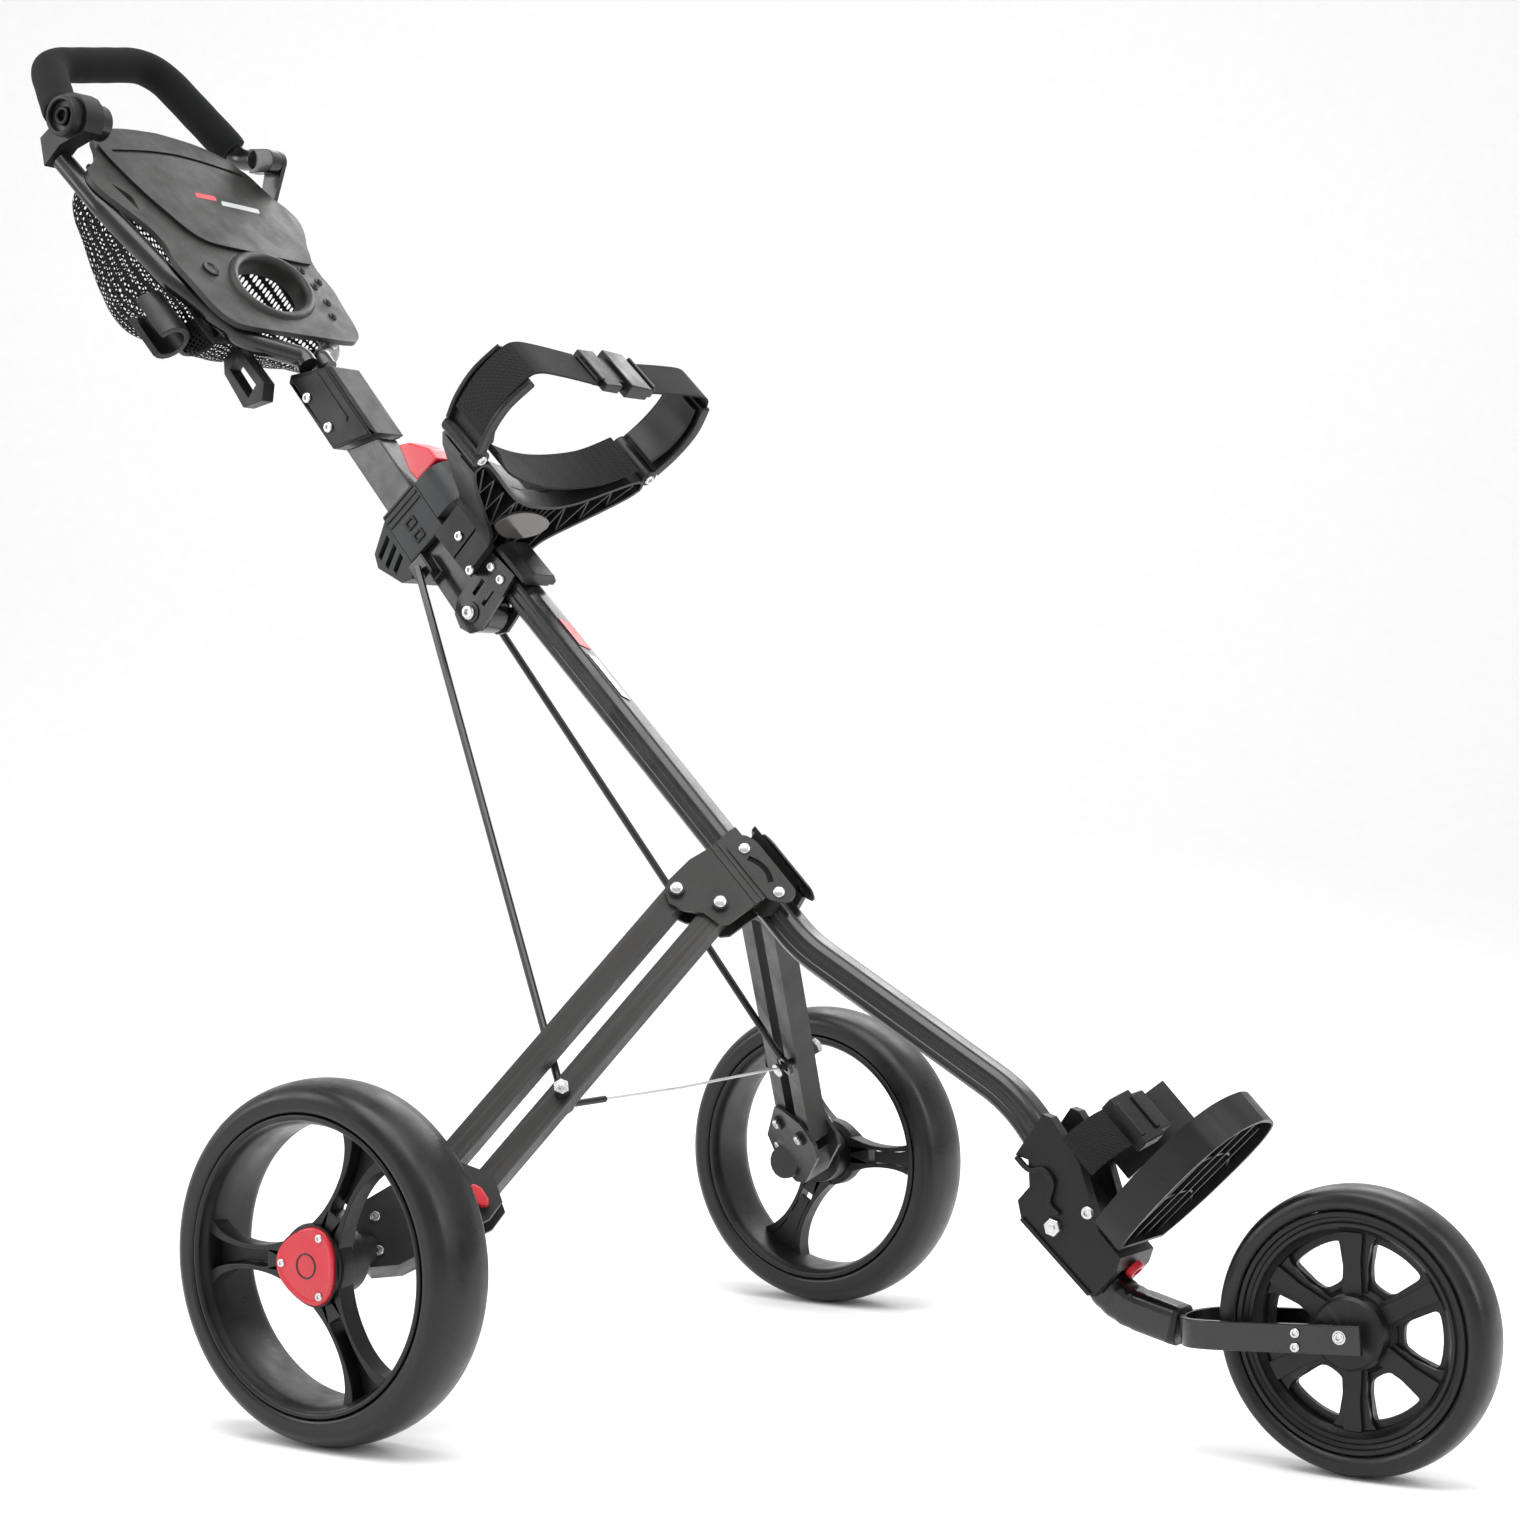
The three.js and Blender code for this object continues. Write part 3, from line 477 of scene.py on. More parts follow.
def crown(bm, depth):
    """Bends a console piece down towards its left and right edges."""
    for k in range(-12, 13):
        bmesh.ops.bisect_plane(bm, geom=bm.verts[:] + bm.edges[:] + bm.faces[:], plane_co=(0, k * 0.011, 0),
                               plane_no=(0, 1, 0))
    for v in bm.verts:
        v.co -= CN * (depth * 0.001 * abs(v.co.y / 0.13) ** 2.2)


def piece(name, body, mat, solids, bevel=0.6, segments=2, angle=32, replaces=(), bow=0):
    bm = bmesh.new()
    for verts, faces in solids:
        made = [bm.verts.new(((p.x + SHIFT) * 0.001, p.y * 0.001, p.z * 0.001)) for p in verts]
        for face in faces:
            if len(set(face)) > 2:
                bm.faces.new([made[i] for i in face])
    if bow:
        crown(bm, bow)
    return finish_mesh(name, bm, body, mat, bevel, segments, angle, replaces)


def refine(node, mat, bevel=0.8, segments=2, name=None):
    """The CAD piece with its flat faces merged and its edges softened."""
    source = frame["nodes"][node]
    bm = bmesh.new()
    bm.from_mesh(source.data)
    bmesh.ops.remove_doubles(bm, verts=bm.verts, dist=1e-5)
    bmesh.ops.dissolve_limit(bm, angle_limit=math.radians(1.5), verts=bm.verts, edges=bm.edges)
    return finish_mesh(name or node + "_finish", bm, source["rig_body"], mat, bevel, segments, 28, [node])


# ---------- rear wheels ----------
def rear_wheel(name, s):
    body = f"rear_wheel_{name}"
    hub = vec(0, s * TRACK, REAR_R)
    out = Y * s
    tread_line = smooth([(111.5, -27), (113.5, -29.2), (118, -29.7), (124.5, -29), (130.5, -23.5),
                         (133.7, -14),
                    (134.9, -5), (134.9, 5), (133.7, 14), (130.5, 23.5), (124.5, 29), (118, 29.7),
                    (113.5, 29.2),
                    (111.5, 27)], 60)
    piece(f"tyre_{name}", body, "tyre", [lathe(tread_line, hub, out, 160)], 0, replaces=[f"rear_tyre_{name}"])
    barrel = [(111, -28), (109.5, -29.2), (106.5, -29), (104, -25), (102.6, -20), (101.6, 6), (102.6, 18),
              (104, 22),
              (105.6, 24), (106.6, 28.4), (108.4, 29.6), (110.4, 29.4), (111, 28)]
    solids = [lathe(barrel, hub, out, 128)]
    # each spoke is two curved webs that part towards the rim, with a rib between them near the rim
    upper = smooth([(22, 17), (40, 11.5), (58, 9.5), (76, 11), (92, 17), (104, 27)], 22)
    lower = smooth([(104, 15), (92, 9.6), (76, 6.6), (60, 5.6), (48, 6.2), (36, 3.5)], 18)
    web = list(upper) + list(lower) + [(24, 0.5)]
    for i in range(3):
        a = math.radians((180 if s < 0 else 0) + i * 120)
        ex, ey = vec(math.cos(a), 0, math.sin(a)), vec(-math.sin(a), 0, math.cos(a))
        lo, hi = (4, 20) if s < 0 else (-20, -4)
        floor = (5, 8) if s < 0 else (-8, -5)
        for flip in (1, -1):
            solids.append(plate([(x, y * flip) for x, y in web], hub, ex, ey, lo, hi))
        # a thin floor closes the spoke between its webs, with one opening left near the hub
        solids.append(plate([(50, -5), (76, -6), (92, -9.5), (102, -15), (102, 15), (92, 9.5), (76, 6),
                             (50, 5)],
                            hub, ex, ey, *floor))
        rib = smooth([(16, 0), (30, 0), (44, 0)], 4)
        solids.append(plate(band(rib, 16), hub, ex, ey, lo, hi))
    # hub drum behind the spokes and the cap seat
    solids.append(lathe([(8.5, -16), (24, -16), (25, -14), (25, 4), (30, 6), (30.5, 18), (29, 21.6),
                         (8.5, 21.6)],
                        hub, out, 48))
    piece(f"rim_{name}", body, "rim", solids, 1.1, 3, replaces=[f"rear_rim_{name}"])
    # three-lobed cap: raised edge, dished face, three screws in the lobes
    start = 180 if s < 0 else 0
    face = hub + out * 22.2
    levels = [(1.0, 0.0), (1.0, 2.6), (0.975, 3.8), (0.93, 4.4), (0.87, 4.1), (0.80, 3.6), (0.45, 4.2),
              (0.0, 4.5)]
    verts, faces = [], []
    n = 96
    for scale, h in levels:
        for i in range(n):
            a = i / n * math.tau
            r = (CAP_R + LOBE * math.cos(3 * (a - math.radians(start)))) * scale
            verts.append(face + vec(math.cos(a) * r, 0, math.sin(a) * r) + out * h)
    for k in range(len(levels) - 1):
        for i in range(n):
            j = (i + 1) % n
            faces.append((k * n + i, k * n + j, (k + 1) * n + j, (k + 1) * n + i))
    faces.append(tuple(range(n)))
    piece(f"cap_{name}", body, "red", [(verts, faces)], 0, replaces=[f"hub_cap_{name}"])
    screws = []
    for i in range(3):
        a = math.radians(start + i * 120)
        screws.append(socket_screw(face + vec(math.cos(a) * CAP_SCREW_R, 0, math.sin(a) * CAP_SCREW_R)
                                   + out * 3.6, out, 3.2, 1.6))
    piece(f"cap_screws_{name}", body, "steel", screws, 0.15)
    # dark seat round the cap and a plain raised ring in its middle
    seat = [((SEAT_R + LOBE * math.cos(3 * math.radians(k * 5 - start))) * math.cos(math.radians(k * 5)),
             (SEAT_R + LOBE * math.cos(3 * math.radians(k * 5 - start))) * math.sin(math.radians(k * 5)))
            for k in range(72)]
    low, high = (-0.4, 1.6) if s < 0 else (-1.6, 0.4)
    piece(f"cap_seat_{name}", body, "rim", [plate(seat, face, vec(1, 0, 0), vec(0, 0, 1), low, high)], 0.4)
    piece(f"cap_ring_{name}", body, "plastic",
          [lathe([(8.4, 3.9), (8.4, 4.8), (9.4, 4.8), (9.4, 3.9)], face, out, 48)], 0)


for side_name, sign in SIDES:
    rear_wheel(side_name, sign)

# ---------- front wheel, axle and fork ----------
FRONT_HUB = vec(BASE, 0, FRONT_R)
tread = smooth([(86.5, -17), (88, -19), (91.5, -20.8), (95.5, -20), (99, -17.6), (101.8, -11.5), (102.9, -4),
                (102.9, 4),
                (101.8, 11.5), (99, 17.6), (95.5, 20), (91.5, 20.8), (88, 19), (86.5, 17)], 56)
piece("front_tyre_finish", "front_wheel", "tyre", [lathe(tread, FRONT_HUB, Y, 160)], 0,
      replaces=["front_tyre"])
lip = [(86, -16.8), (85, -18), (82, -18), (81, -15.5), (78.5, -14.5), (77, -16), (74.5, -15.5), (73, -12.5),
       (70, -9.5),
       (69, -5)]
front_ring = lip + [(r, -h) for r, h in reversed(lip)]
solids = [lathe(front_ring, FRONT_HUB, Y, 128)]
windows = []
for i in range(6):
    a = i * 60
    opening = arc(0, 0, 64, a - 19, a + 19, 4) + [(36 * math.cos(math.radians(a + d)),
                                                   36 * math.sin(math.radians(a + d)))
                                                  for d in (14, -14)]
    windows.append(fillet(opening, 6, 3))
solids.append(plate(ring(0, 0, 70, 96), FRONT_HUB, vec(1, 0, 0), vec(0, 0, 1), -2.5, 2.5, windows))
for i in range(6):
    # wide raised spoke on each face, with a shallow channel between two edges
    a = math.radians(90 + i * 60)
    ex, ey = vec(math.cos(a), 0, math.sin(a)), vec(-math.sin(a), 0, math.cos(a))
    shape = [(22, -10), (45, -9), (62, -12), (71, -19), (71, 19), (62, 12), (45, 9), (22, 10)]
    solids.append(plate(fillet(shape, 2), FRONT_HUB, ex, ey, -7, 7))
    solids.append(plate(fillet([(20, -7), (50, -5.5), (70, -7), (70, 7), (50, 5.5), (20, 7)], 2), FRONT_HUB,
                        ex, ey, -10.5, 10.5))
solids.append(lathe([(6, -21), (24, -21), (26.5, -18.5), (27.5, -8), (31, -4), (31, 4), (27.5, 8),
                     (26.5, 18.5),
                     (24, 21), (6, 21)], FRONT_HUB, Y, 64))
piece("front_rim_finish", "front_wheel", "rim", solids, 1.3, 3, replaces=["front_rim"])

tilt = math.radians(4.4)
FX, FO = vec(math.cos(tilt), 0, math.sin(tilt)), vec(530, 0, 90.5)
half = [(2.6, 0.01), (4, 10), (9, 20), (17, 27), (28, 30.6), (42, 32), (90, 32), (150.5, 32)]
bow = smooth([(x, y) for x, y in reversed(half)] + [(x, -y) for x, y in half[1:]], 60)
piece("fork_finish", "frame", "paint", [plate(band(bow, 4.8), FO, FX, Y, -10.4, 10.4)], 0.9, 3,
      replaces=["fork"])
bolts = []
for s in (-1, 1):
    out = Y * s
    end = vec(BASE, s * 34.4, FRONT_R)
    bolts += [socket_screw(vec(632, s * 34.4, 102.5), out, 3.6, 2.2),
              socket_screw(vec(632, s * 34.4, 92.5), out, 3.6, 2.2),
              socket_screw(end, out, 3.8, 2.4)]
bolts.append(rod(vec(BASE, -35, FRONT_R), vec(BASE, 35, FRONT_R), 5))
piece("front_axle_finish", "frame", "steel", bolts, 0.25, replaces=["front_axle"])

# ---------- main tube and elbow ----------
section = [(-7.8, 13), (-13.5, 8.4), (-13.5, 3.6), (-12.3, 2.8), (-12.3, -2.8), (-13.5, -3.6), (-13.5, -8.4),
           (-7.8, -13), (7.8, -13), (13.5, -8.4), (13.5, -3.6), (12.3, -2.8), (12.3, 2.8), (13.5, 3.6),
           (13.5, 8.4),
           (7.8, 13)]
radii = [4, 4, 0.8, 0.8, 0.8, 0.8, 4, 4] * 2
piece("main_tube_finish", "frame", "paint",
      [sweep(rounded([vec(-134, 0, 690), vec(198, 0, 355), vec(390, 0, 247), vec(422, 0, 206)], 130, 18),
             fillet(section, radii, 4))], 0.4, replaces=["main_tube"])
# plain two-colour stripe on the upper face of the tube
for mat, t0, t1, half in (("red", -470, -432, 5.0), ("silver", -428, -372, 3.6)):
    stripe = fillet([(t0, -half), (t1 - 6, -half), (t1, half), (t0 + 6, half)], 1)
    mid = U * (393.3 + 12.75)
    piece(f"stripe_{mat}", "frame", mat, [plate(stripe, mid, T, Y, -0.35, 0.0)], 0)
elbow = [(-9, 14.5), (-14, 9.5), (-14, -9.5), (-9, -14.5), (9, -14.5), (14, -9.5), (14, 9.5), (9, 14.5)]
elbow_line = rounded([vec(434, 0, 171), vec(470, 0, 104), vec(524, 0, 91.5)], 60, 16)
ripple = [1 + 0.02 * math.sin(i * 1.9) for i in range(len(elbow_line))]
piece("front_elbow_finish", "frame", "paint", [sweep(elbow_line, fillet(elbow, 5, 4), scales=ripple)], 0.4,
      replaces=["front_elbow"])
piece("elbow_end", "frame", "plastic", [sweep([vec(520, 0, 92), vec(529, 0, 90.6)], fillet(elbow, 5, 4))],
      1.5, 3)

# ---------- legs, carriers, wing plates, rods ----------
for side_name, s in SIDES:
    N, M = leg_normal(s), leg_down(s)
    upper, lower = f"leg_upper_{side_name}", f"leg_lower_{side_name}"

    def leg_plate(points, a, b, holes=(), N=N, M=M, s=s):
        if s < 0:
            return plate([(m, t) for t, m in points], vec(0, 0, 0), M, T, LEG_PLANE + a, LEG_PLANE + b,
                         [[(m, t) for t, m in h] for h in holes])
        return plate(points, vec(0, 0, 0), T, M, LEG_PLANE + a, LEG_PLANE + b, holes)

    def pin_at(p, n0, s=s):
        return leg_point(s, p[0], p[1], LEG_PLANE + n0)

    refine(upper, "leg", 2.4, 3)
    refine(lower, "leg", 1.6, 3)
    refine(f"wheel_carrier_{side_name}", "plastic", 1.0)
    refine(f"wing_plate_{side_name}", "leg", 0.5)
    refine(f"stay_rod_{side_name}", "paint", 0.3)
    stud = on_leg(LOW_PIN, ROD_AT)
    piece(f"stud_nut_{side_name}", lower, "steel",
          [nut(pin_at(stud, 15.6), N, 6.4, 4.5), dome(pin_at(stud, -23.5), -N, 6.2, 3)], 0.2)
    # folded flange along the tube: two ridges, then a raised strip with an arc slot
    strip = fillet([(-209, -279.5), (-209, -297), (-198, -302), (-142, -302), (-137, -291), (-150, -279.5)],
                   5)
    slot = band(smooth([(-189, -288), (-180, -292), (-170, -293), (-161, -290)], 12), 4.4)
    ridges = [[(-215, m), (-152, m), (-152, m - 1.6), (-215, m - 1.6)] for m in (-269.5, -275.5)]
    piece(f"wing_strip_{side_name}", "frame", "leg",
          [leg_plate(strip, 13, 14.6, [slot])] + [leg_plate(r, 12.8, 14) for r in ridges], 0.4)
    # painted shade: a thin dark sheet in the net's material fills the bottom of the arc slot
    piece(f"wing_slot_shade_{side_name}", "frame", "net", [leg_plate(slot, 12.9, 13.4)], 0)
    rivets = [dome(pin_at(UP_PIN, 16.4), N, 5.2, 2.6), dome(pin_at(LOW_PIN, 16.4), N, 5.2, 2.6),
              dome(pin_at((-197.4, -290.5), 14.5), N, 4.8, 2.4),
              dome(pin_at((-150, -290), 14.5), N, 4.8, 2.4)]
    piece(f"wing_rivets_{side_name}", "frame", "steel", rivets, 0)
    ends = [on_leg(UP_PIN, LEG_LEN), on_leg(LOW_PIN, LEG_LEN)]
    piece(f"carrier_bolts_{side_name}", f"carrier_{side_name}", "steel",
          [socket_screw(pin_at(p, 16.4), N, 4.6, 2.4) for p in ends]
          + [socket_screw(pin_at(p, -16.4), -N, 4.6, 2.4) for p in ends]
          + [socket_screw(pin_at((-88, 124), 13), N, 4, 2), socket_screw(pin_at((-112, 112), 13), N, 4, 2),
             socket_screw(pin_at((-88, 124), -13), -N, 4, 2),
             socket_screw(pin_at((-112, 112), -13), -N, 4, 2)], 0.15)

refine("brake_lever", "red", 1.2, 3)
ring_knob = [(4, -3), (6.5, -3), (7.5, -2), (7.5, 2), (6.5, 3), (4, 3)]
piece("neck_ring", "frame", "red", [lathe(ring_knob, vec(489, 0, 128), vec(0.72, 0, -0.69), 28)], 0.3)


# ---------- spread cable: two straight halves, one from each side to the middle ---
def cable_half(name, solids, mat):
    obj = piece(name, None, mat, solids, 0)
    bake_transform(obj)
    return obj


CABLE_R = 1.15
near, far, middle = vec(75, -144, 236), vec(75, 144, 236), vec(75.5, 0, 234.2)
right_line = [near.lerp(middle, k / 24) for k in range(25)]
left_line = [far.lerp(middle, k / 24) for k in range(25)]
right_half = cable_half("cable_right", [tube(right_line, CABLE_R, 10)], "cable")
cable_half("cable_left", [tube(left_line, CABLE_R, 10)], "cable")
sleeve = [near.lerp(middle, k / 40) for k in range(13)]
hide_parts("spread_cable")
piece("cable_sleeve", "leg_lower_right", "plastic", [tube(sleeve, 2.8, 14)], 0.3)

# ---------- lower cradle ----------
refine("lower_bracket", "plastic", 1.2, 3)
tray_origin = vec(478, 0, 139)


def tray_plate(points, a, b, holes=()):
    return plate(points, tray_origin, U, Y, a, b, holes)


def tray_loop(inset):
    half = [(17 + inset, 36 - inset), (34, 43 - inset), (62, 49.6 - inset), (90, 51.6 - inset),
            (112, 50.6 - inset),
            (130, 45.5 - inset), (144, 35.5 - inset), (153 - inset, 19), (156.5 - inset, 0.01)]
    curve = smooth(half, 40)
    return [(u, -y) for u, y in curve] + [(u, y) for u, y in reversed(curve)]


tray = [tray_plate(tray_loop(1), 9.5, 12.5), tray_plate(tray_loop(0), -5, 22, [tray_loop(3.2)])]
for y in (-27, -9, 9, 27):
    tray.append(tray_plate([(18, y - 0.9), (146 - abs(y) * 0.3, y - 0.9), (146 - abs(y) * 0.3, y + 0.9),
                            (18, y + 0.9)], -1, 10.5))
for u in (62, 104):
    bowed = smooth([(u - 14, -45), (u + 4, -22), (u + 8, 0), (u + 4, 22), (u - 14, 45)], 20)
    tray.append(tray_plate(band(bowed, 1.8), 0, 10.5))
piece("lower_tray_finish", "frame", "plastic", tray, 0.9, 3, replaces=["lower_tray"])
piece("lower_buckle_finish", "frame", "plastic",
      [across_tube([(-6, 501.5), (14, 510), (12, 521), (-7, 512.5)], 154, 197),
       across_tube([(13, 510), (24, 514), (26, 523), (12, 521)], 158, 193),
       across_tube([(-6, 511.5), (-2, 513.5), (-3, 516), (-7, 514)], 160, 191),
       across_tube([(8, 519), (12, 521), (11, 523.5), (7, 521.5)], 160, 191)], 1.5, 3,
       replaces=["lower_buckle"])
line = smooth([(-33, 474), (-31, 486), (-21, 498), (-10, 503.5)], 24)
piece("lower_strap", "frame", "web", [across_tube(band(line, 2.0), 156.5, 191.5)], 0.5,
      replaces=["lower_strap_right"])
# curled lip and hooks on the outside of each bracket plate
for s in (-1, 1):
    lip = band(smooth([(405, 208), (416, 199), (428, 200), (436, 191), (433, 176), (441, 168)], 30), 3.4)
    edge = band(smooth([(409, 162), (438, 136), (466, 111)], 10), 3.2)
    piece(f"bracket_lip_{'right' if s < 0 else 'left'}", "frame", "plastic",
          [side(lip, *sorted((26.6 * s, 31 * s))), side(edge, *sorted((26.6 * s, 29.5 * s)))], 0.7, 3)
piece("bracket_bolts", "frame", "steel",
      [nut(vec(436, -27.2, 158), -Y, 7, 4.5), socket_screw(vec(464, -27.2, 171), -Y, 5, 2.6),
       nut(vec(436, 27.2, 158), Y, 7, 4.5), socket_screw(vec(464, 27.2, 171), Y, 5, 2.6)], 0.25)

# ---------- hinge ----------
for side_name in ("right", "left"):
    refine(f"hinge_plate_{side_name}", "paint", 0.6)
piece("fold_pin_finish", "frame", "steel",
      [rod(PIVOT - Y * 22, PIVOT + Y * 22, 5), socket_screw(PIVOT - Y * 20, -Y, 6.4, 4.2),
       nut(PIVOT + Y * 20, Y, 7.4, 4)], 0.3, replaces=["fold_pin"])
piece("fold_washers", "frame", "paint",
      [lathe([(5.2, 0), (9.6, 0), (9.6, 1.2), (5.2, 1.2)], PIVOT + Y * (19.6 * s), Y * s, 32)
       for s in (-1, 1)], 0.2)
refine("tube_collar", "plastic", 1.4, 3)
plate_bolts = []
for s in (-1, 1):
    for x, z in ((-105, 663), (-95, 652)):
        plate_bolts.append(socket_screw(vec(x, s * 19.4, z), Y * s, 4.2, 2.2))
    for x, z in ((-131, 689), (-119, 660)):
        plate_bolts.append(socket_screw(vec(x, s * 30.2, z), Y * s, 4.2, 2.2))
piece("hinge_bolts", "frame", "steel", plate_bolts, 0.2)

# ---------- upper cradle ----------
CR0, CR1 = -600, -551
base = mirrored([(0.01, 456), (40, 463), (100, 493), (112, 486), (102, 474), (72, 450), (38, 424), (30, 412),
                 (30, 377),
                 (20.2, 377), (20.2, 407)])
base_solids = [across_tube(base, CR0, CR0 + 30)]
top_wall = [(-112, 486), (-100, 493), (-40, 463), (0, 456), (40, 463), (100, 493), (112, 486)]
low_wall = [(112, 486), (102, 474), (72, 450), (38, 424), (28.5, 411)]
base_solids.append(across_tube(band(smooth(top_wall, 40), 3), CR0 + 28, CR1))
for s in (-1, 1):
    base_solids.append(across_tube(band([(s * y, u) for y, u in smooth(low_wall, 20)], 3), CR0 + 28, CR1))
    base_solids.append(across_tube([(s * 20.5, 377), (s * 30, 377), (s * 30, 414), (s * 20.5, 410)], CR0 + 28,
                                   CR1))
    zigzag = [(24, 412), (34, 458), (44, 430), (58, 467), (64, 446), (80, 478), (86, 463), (102, 488)]
    for a, b in zip(zigzag, zigzag[1:]):
        base_solids.append(across_tube(band([(s * a[0], a[1]), (s * b[0], b[1])], 1.8), CR0 + 28, CR1 - 2))
    for y in (4, 12, 20, 30):
        base_solids.append(across_tube(band([(s * 3, 409), (s * y, 456 + abs(y) * 0.1)], 1.5), CR0 + 28,
                                       CR1 - 4))
piece("cradle_base_finish", "frame", "plastic", base_solids, 0.5, 2, replaces=["cradle_base"])
leaf = smooth([(-40, 433), (-26, 446), (-4, 449), (20, 444), (29, 436), (22, 426), (2, 420), (-20, 421)], 48,
              True)
piece("cradle_leaf", "frame", "badge", [across_tube(leaf, CR1 - 4, CR1 - 0.5)], 0.8, 3)
line = smooth([(-95, 504), (-60, 484), (0, 475), (60, 484), (95, 504)], 40)
piece("cradle_liner_finish", "frame", "web", [across_tube(band(line, 2.2), CR0 + 3.4, CR1 - 3.4)], 0.6,
      replaces=["cradle_liner"])
for side_name, s in SIDES:
    body = f"cradle_{side_name}"
    centre = smooth([(116, 504), (124, 526), (126, 552), (117, 578)], 30)
    arm = [(s * y, u) for y, u in centre]
    outer = [(s * (y + 2.4), u) for y, u in centre]
    rails = [across_tube(band(arm, 3.0), CR0 + 1, CR1 - 1), across_tube(band(outer, 9.5), CR0 + 1, CR0 + 4.6),
             across_tube(band(outer, 9.5), CR1 - 4.6, CR1 - 1)]
    axis0 = Y * (s * 114) + U * 498
    rails.append(rod(axis0 + T * (CR0 + 1), axis0 + T * (CR1 - 1), 8, 32))
    piece(f"arm_{side_name}", body, "plastic", rails, 0.8, 3, replaces=[f"cradle_arm_{side_name}"])
    pad = [(s * y, u) for y, u in smooth([(108, 512), (118.5, 530), (120.5, 552), (113.5, 573)], 24)]
    pad_obj = piece(f"pad_{side_name}", body, "pad", [across_tube(band(pad, 3.2), CR0 + 6, CR1 - 6)], 1.2, 3,
                    replaces=[f"arm_pad_{side_name}"])
    end = 37 if s < 0 else 41
    strap = [(s * y, u) for y, u in smooth([(127, 518), (130, 534), (131, 554), (124, 579), (113, 587),
                                            (84, 587),
                                            (end, 584)], 60)]
    piece(f"strap_{side_name}", body, "web", [across_tube(band(strap, 1.9), CR0 + 6.5, CR1 - 5.5)], 0.5,
          replaces=[f"cradle_strap_{side_name}"])
    piece(f"arm_bolt_{side_name}", body, "steel",
          [socket_screw(axis0 + T * (CR1 - 1.2), T, 4.6, 2.4)], 0.2)
across = (CR0 + CR1) / 2
piece("buckle_plug_finish", "cradle_right", "plastic",
      [across_tube([(-36, 580), (2, 579), (2, 588), (-36, 587)], across - 15, across + 15),
       across_tube([(-29, 580.5), (-8, 580), (-8, 588.5), (-29, 588)], across - 22, across + 22),
       across_tube([(-33, 588), (-28, 588), (-28, 590), (-33, 590)], across - 17, across + 17)], 1.2, 3,
      replaces=["buckle_plug"])
piece("buckle_socket_finish", "cradle_left", "plastic",
      [across_tube([(2.6, 577.5), (32, 578), (32, 589.5), (2.6, 591)], across - 23, across + 22.5),
       across_tube([(31, 579), (40, 579.5), (40, 588), (31, 588)], across - 20, across + 20),
       across_tube([(36, 587), (39, 587), (39, 590.5), (36, 590.5)], across - 19, across + 19)], 1.4, 3,
      replaces=["buckle_socket"])

# ---------- stem ----------
refine("stem", "paint", 1.4, 3)
refine("stem_clamp", "grey", 1.2, 3)
# two square window frames and four ridges on each side of the clamp
for s in (-1, 1):
    clamp_face = 18 * s
    trim = []
    for a in (84, 98):
        pocket = fillet([(a, -6), (a + 9, -6), (a + 9, 6), (a, 6)], 1.5)
        inset = fillet([(a + 2, -4), (a + 7, -4), (a + 7, 4), (a + 2, 4)], 1)
        trim.append(stem_side(pocket, *sorted((clamp_face - 0.3 * s, clamp_face + 1.3 * s)), [inset]))
    for a in (76, 113, 119, 125):
        trim.append(stem_side([(a, -20), (a + 2, -20), (a + 2, 22), (a, 22)],
                              *sorted((clamp_face - 0.3 * s, clamp_face + 1.1 * s))))
    piece(f"clamp_trim_{'right' if s < 0 else 'left'}", "stem", "plastic", trim, 0.4)
refine("latch_barrel", "grey", 0.8, 3)
refine("latch_lever", "grey", 1.6, 3)
refine("release_tab", "red", 2.0, 3)
refine("stem_head", "plastic", 1.6, 3)
piece("head_ridge", "stem", "plastic",
      [stem_side([(216, 6), (276, 6), (273, 9), (219, 9)], *sorted((21.7 * s, 23.2 * s))) for s in (-1, 1)],
      0.5)
piece("head_bolts", "stem", "steel", [socket_screw(stem_point(264, -14, s * 22.1), Y * s, 4.6, 2.6)
                                      for s in (-1, 1)]
      + [socket_screw(stem_point(227, -12.6, s * 22.1), Y * s, 4.6, 2.6) for s in (-1, 1)], 0.2)

# ---------- console ----------
BOW = 5
half = smooth([(0.01, 256), (50, 251), (80, 241), (95, 228), (101, 212), (110, 198), (125, 186), (132, 171),
               (127, 152),
               (113, 129), (102, 109), (98, 88), (101, 66), (97, 44), (92, 14), (83, -3), (64, -11),
               (0.01, -13)], 56)


def oval(dr):
    return ring(8, 52, 48 + dr, 48, 31 + dr, 0.5)


tee_places = [(70, 84), (85, 72), (72, 63), (74, 42), (66, 22)]
corner = fillet([(-112, 168), (-97, 152), (-100, 132)], 4)
tees = [ring(y, u, 3.2, 12) for y, u in tee_places]
piece("console_panel_finish", "stem", "panel",
      [on_console(mirrored(half), -5.5, 0, [oval(4), corner] + tees)], 1.9, 3, replaces=["console_panel"],
      bow=BOW)
verts, faces = [], []
levels = [(11, -0.5), (9.5, 2.2), (7, 3.4), (4, 3.2), (1.5, 1.2), (0, -3), (0, -17), (4, -17), (4.5, -5)]
for dr, n in levels:
    verts += [console_point(y, u, n) for y, u in oval(dr)]
for k in range(len(levels)):
    for i in range(48):
        j, below = (i + 1) % 48, (k + 1) % len(levels)
        faces.append((k * 48 + i, k * 48 + j, below * 48 + j, below * 48 + i))
piece("console_oval_rim", "stem", "panel", [(verts, faces)], 0)
pegs = []
for y, u in tee_places:
    foot = console_point(y, u, -1.2 - BOW * abs(y / 130) ** 2.2)
    pegs.append(lathe([(1.6, 0), (4.4, 0), (4.4, 2.0), (3.6, 2.6), (1.6, 1.6)], foot, CN, 20))
